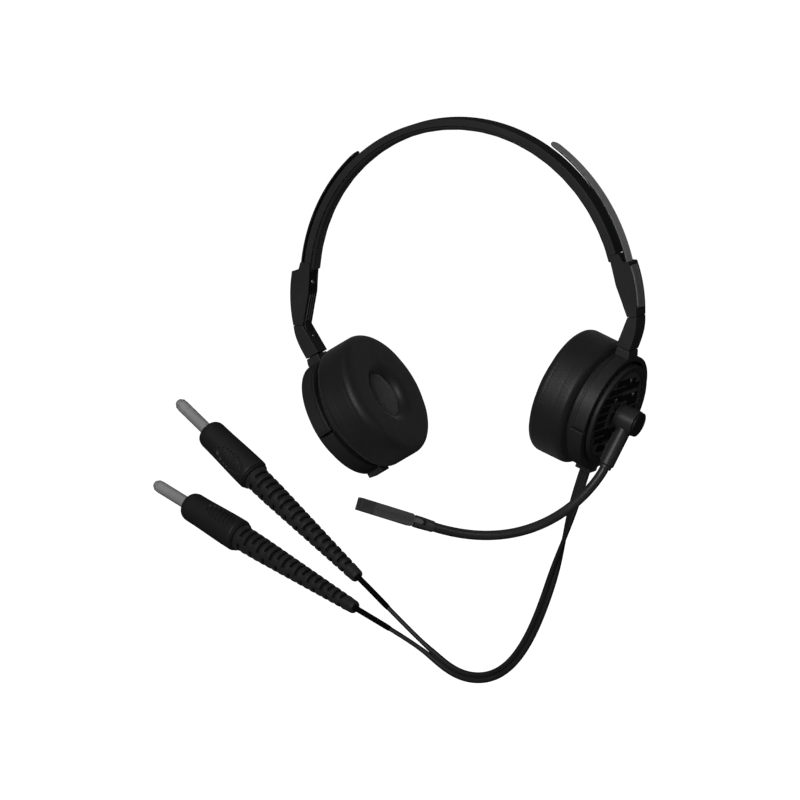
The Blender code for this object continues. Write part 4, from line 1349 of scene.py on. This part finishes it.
def barrel(label, place, grip_angle):
    """The handle: round nose, slight flare, rear collar, and an oval finger grip with slanting ribs."""
    low, high = reach(f"{label}_plug_barrel", place)
    start, end = low.z, high.z + 1.6
    nose, rear = 7.6, high.x
    grip_z, grip_long, grip_wide = start + 13.5, 10.0, math.radians(66)
    nose_r = 4.6

    def envelope(z):
        body = nose + (rear - nose) * (1 - ramp(z, start + 2, end - 3))
        tail = 1 - ramp(z, start + 0.9, start + 1.9)
        body -= 0.75 * tail
        groove = math.exp(-(((z - start - 0.75) / 0.35) ** 2))
        body -= 0.45 * groove
        if z > end - nose_r:
            share = (z - (end - nose_r)) / nose_r
            body -= 2.9 * (1 - math.sqrt(max(0.0, 1 - share**2.2)))
        return body

    def radius(turn, z):
        base = envelope(z)
        gap = min(apart(turn, grip_angle), apart(turn, grip_angle + math.pi))
        inside = ((z - grip_z) / grip_long) ** 2 + (gap / (grip_wide / 2)) ** 2
        hollow = 1 - ramp(inside, 0.85, 1.08)
        signed = (turn - grip_angle + math.pi) % math.pi
        signed = signed - math.pi if signed > math.pi / 2 else signed
        slant = (z - grip_z) * 0.95 - signed * base * 0.3
        rib = 0.5 + 0.5 * math.cos(2 * math.pi * slant / 2.5)
        return base - hollow * (0.85 - 0.7 * ramp(rib, 0.45, 0.75))

    rows = list(np.arange(start, end - nose_r, 0.3))
    rows += list(end - nose_r * (1 - np.sin(np.linspace(0, math.pi / 2, 18))))
    mesh = radial_skin(rows, radius, 168)
    mesh = cut(mesh, place, (rod(3.475, 108, 125, 48), place))
    stand_in(f"{label}_plug_barrel", mesh, PLUG, place, "right_cup", 40)


def shaft(label, place):
    """The sleeve contact with its insulating ring, and the stepped tip."""
    low, high = reach(f"{label}_plug_shaft", place)
    r, end = high.x, high.z
    ring = end - 6.2
    groove_r = r - 0.18
    profile = [(0, low.z), (r, low.z), (r, ring), (groove_r, ring + 0.1)]
    profile += [(groove_r, ring + 0.9), (r, ring + 1.0)]
    profile += [(r, end - 0.25), (r - 0.25, end), (0, end)]
    stand_in(f"{label}_plug_shaft", turned(profile, 72), NICKEL, place, "right_cup", 35)
    low, high = reach(f"{label}_plug_tip", place)
    base, top = low.z, high.z
    profile = [(0, base), (2.2, base), (2.2, base + 0.3), (3.0, base + 0.6)]
    profile += [(3.0, base + 1.0), (1.9, top - 0.4), (1.3, top), (0, top)]
    stand_in(
        f"{label}_plug_tip", turned(rounded(profile, 0.12, closed=False, count=3), 72), NICKEL, place,
        "right_cup", 35,
    )


# ---------------------------------------------------------------- assembly


def hidden_parts():
    """Finishes for the CAD nodes that stay: pins, springs and what lies inside the cups."""
    looks = {"headband_spring": SPRING, "boom_pivot_pin": FASTENER, "mic_capsule": CAPSULE}
    for label in LABELS.values():
        looks[f"{label}_swivel_pin"] = FASTENER
        looks[f"{label}_tilt_pin_front"] = looks[f"{label}_tilt_pin_rear"] = FASTENER
        looks[f"{label}_baffle"] = DARK
        looks[f"{label}_driver"] = DRIVER
    for node, look in looks.items():
        data = frame["nodes"][node].data
        data.materials.clear()
        data.materials.append(look)


GRIP_TURN = {"upper": 12, "lower": 66}
SLOT_TURN = {"upper": 106, "lower": 99}


def build():
    headband()
    for side, label in LABELS.items():
        place = cup_place(side)
        bored = side > 0
        slider_block(side, label)
        rail(side, label)
        arm(side, label)
        yoke(side, label, place)
        ear_cushion(side, label, place)
        foam_insert(label, place)
        cup_housing(label, place, bored)
        bezel(label, place)
        grille(side, label, place, bored)
        outlet(label, place, bored)
    right = cup_place(1)
    boom(right)
    microphone()
    lead(right)
    for label, grip in GRIP_TURN.items():
        place = plug_place(label)
        boot(label, place, math.radians(SLOT_TURN[label]))
        barrel(label, place, math.radians(grip))
        shaft(label, place)
    hidden_parts()


# ---------------------------------------------------------------- stage

RIGHT, UP, BACK = Vector((0.88784, 0.45176, -0.08749)), Vector((0.02097, 0.15023, 0.98843)), Vector(
    (0.45968, -0.87940, 0.12390))
TARGET = Vector((-0.02722, -0.03066, -0.13275))
VIEW_WIDTH, DISTANCE = 0.4036, 17.0
FLOOR_Z = -0.325


def camera():
    data = bpy.data.cameras.new("camera")
    data.sensor_width = 36
    data.lens = 36 * DISTANCE / VIEW_WIDTH
    data.clip_start, data.clip_end = 0.1, 60
    obj = bpy.data.objects.new("camera", data)
    bpy.context.scene.collection.objects.link(obj)
    turn = Matrix((RIGHT, UP, BACK)).transposed().to_4x4()
    obj.matrix_world = Matrix.Translation(TARGET + BACK * DISTANCE) @ turn
    bpy.context.scene.camera = obj


def lamp(name, direction, distance, size, power):
    """A square area light that looks at the target from a direction."""
    data = bpy.data.lights.new(name, "AREA")
    data.size = size
    data.energy = power
    obj = bpy.data.objects.new(name, data)
    bpy.context.scene.collection.objects.link(obj)
    away = Vector(direction).normalized()
    obj.location = TARGET + away * distance
    obj.rotation_mode = "QUATERNION"
    obj.rotation_quaternion = away.to_track_quat("Z", "Y")
    return obj


def floor():
    """A pale matt floor that glows a little, so that it stays white without lighting the object."""
    mesh = bpy.data.meshes.new("floor")
    half = 30
    corners = [(x * half, y * half, FLOOR_Z) for x, y in ((-1, -1), (1, -1), (1, 1), (-1, 1))]
    mesh.from_pydata(corners, [], [(0, 1, 2, 3)])
    obj = bpy.data.objects.new("floor", mesh)
    bpy.context.scene.collection.objects.link(obj)
    look = Look("floor", (0.92, 0.92, 0.92), 0.9, specular=0.1)
    look.mottle(3, 0.01)
    material = look.done()
    look.shader.inputs["Emission Color"].default_value = (1, 1, 1, 1)
    look.shader.inputs["Emission Strength"].default_value = 1.0
    obj.data.materials.append(material)
    obj.visible_diffuse = False
    obj.visible_glossy = False


def world():
    """White for the camera, and dim grey for what the object sees."""
    scene = bpy.context.scene
    scene.world = bpy.data.worlds.new("studio")
    scene.world.use_nodes = True
    tree = scene.world.node_tree
    shown, seen = tree.nodes["Background"], tree.nodes.new("ShaderNodeBackground")
    shown.inputs["Color"].default_value = (0.032, 0.032, 0.033, 1)
    shown.inputs["Strength"].default_value = 1.0
    seen.inputs["Color"].default_value = (1, 1, 1, 1)
    path, mix = tree.nodes.new("ShaderNodeLightPath"), tree.nodes.new("ShaderNodeMixShader")
    tree.links.new(path.outputs["Is Camera Ray"], mix.inputs["Fac"])
    tree.links.new(shown.outputs["Background"], mix.inputs[1])
    tree.links.new(seen.outputs["Background"], mix.inputs[2])
    tree.links.new(mix.outputs["Shader"], tree.nodes["World Output"].inputs["Surface"])
    scene.view_settings.view_transform = "Standard"


def stage():
    floor()
    world()
    camera()
    lamp("key", (0.2, -1.0, 0.38), 2.4, 1.2, 30)
    lamp("side", (0.97, -0.12, 0.22), 2.6, 0.8, 3.4)
    lamp("top", (-0.2, -0.1, 1.0), 2.4, 1.2, 0.9)


build()
stage()
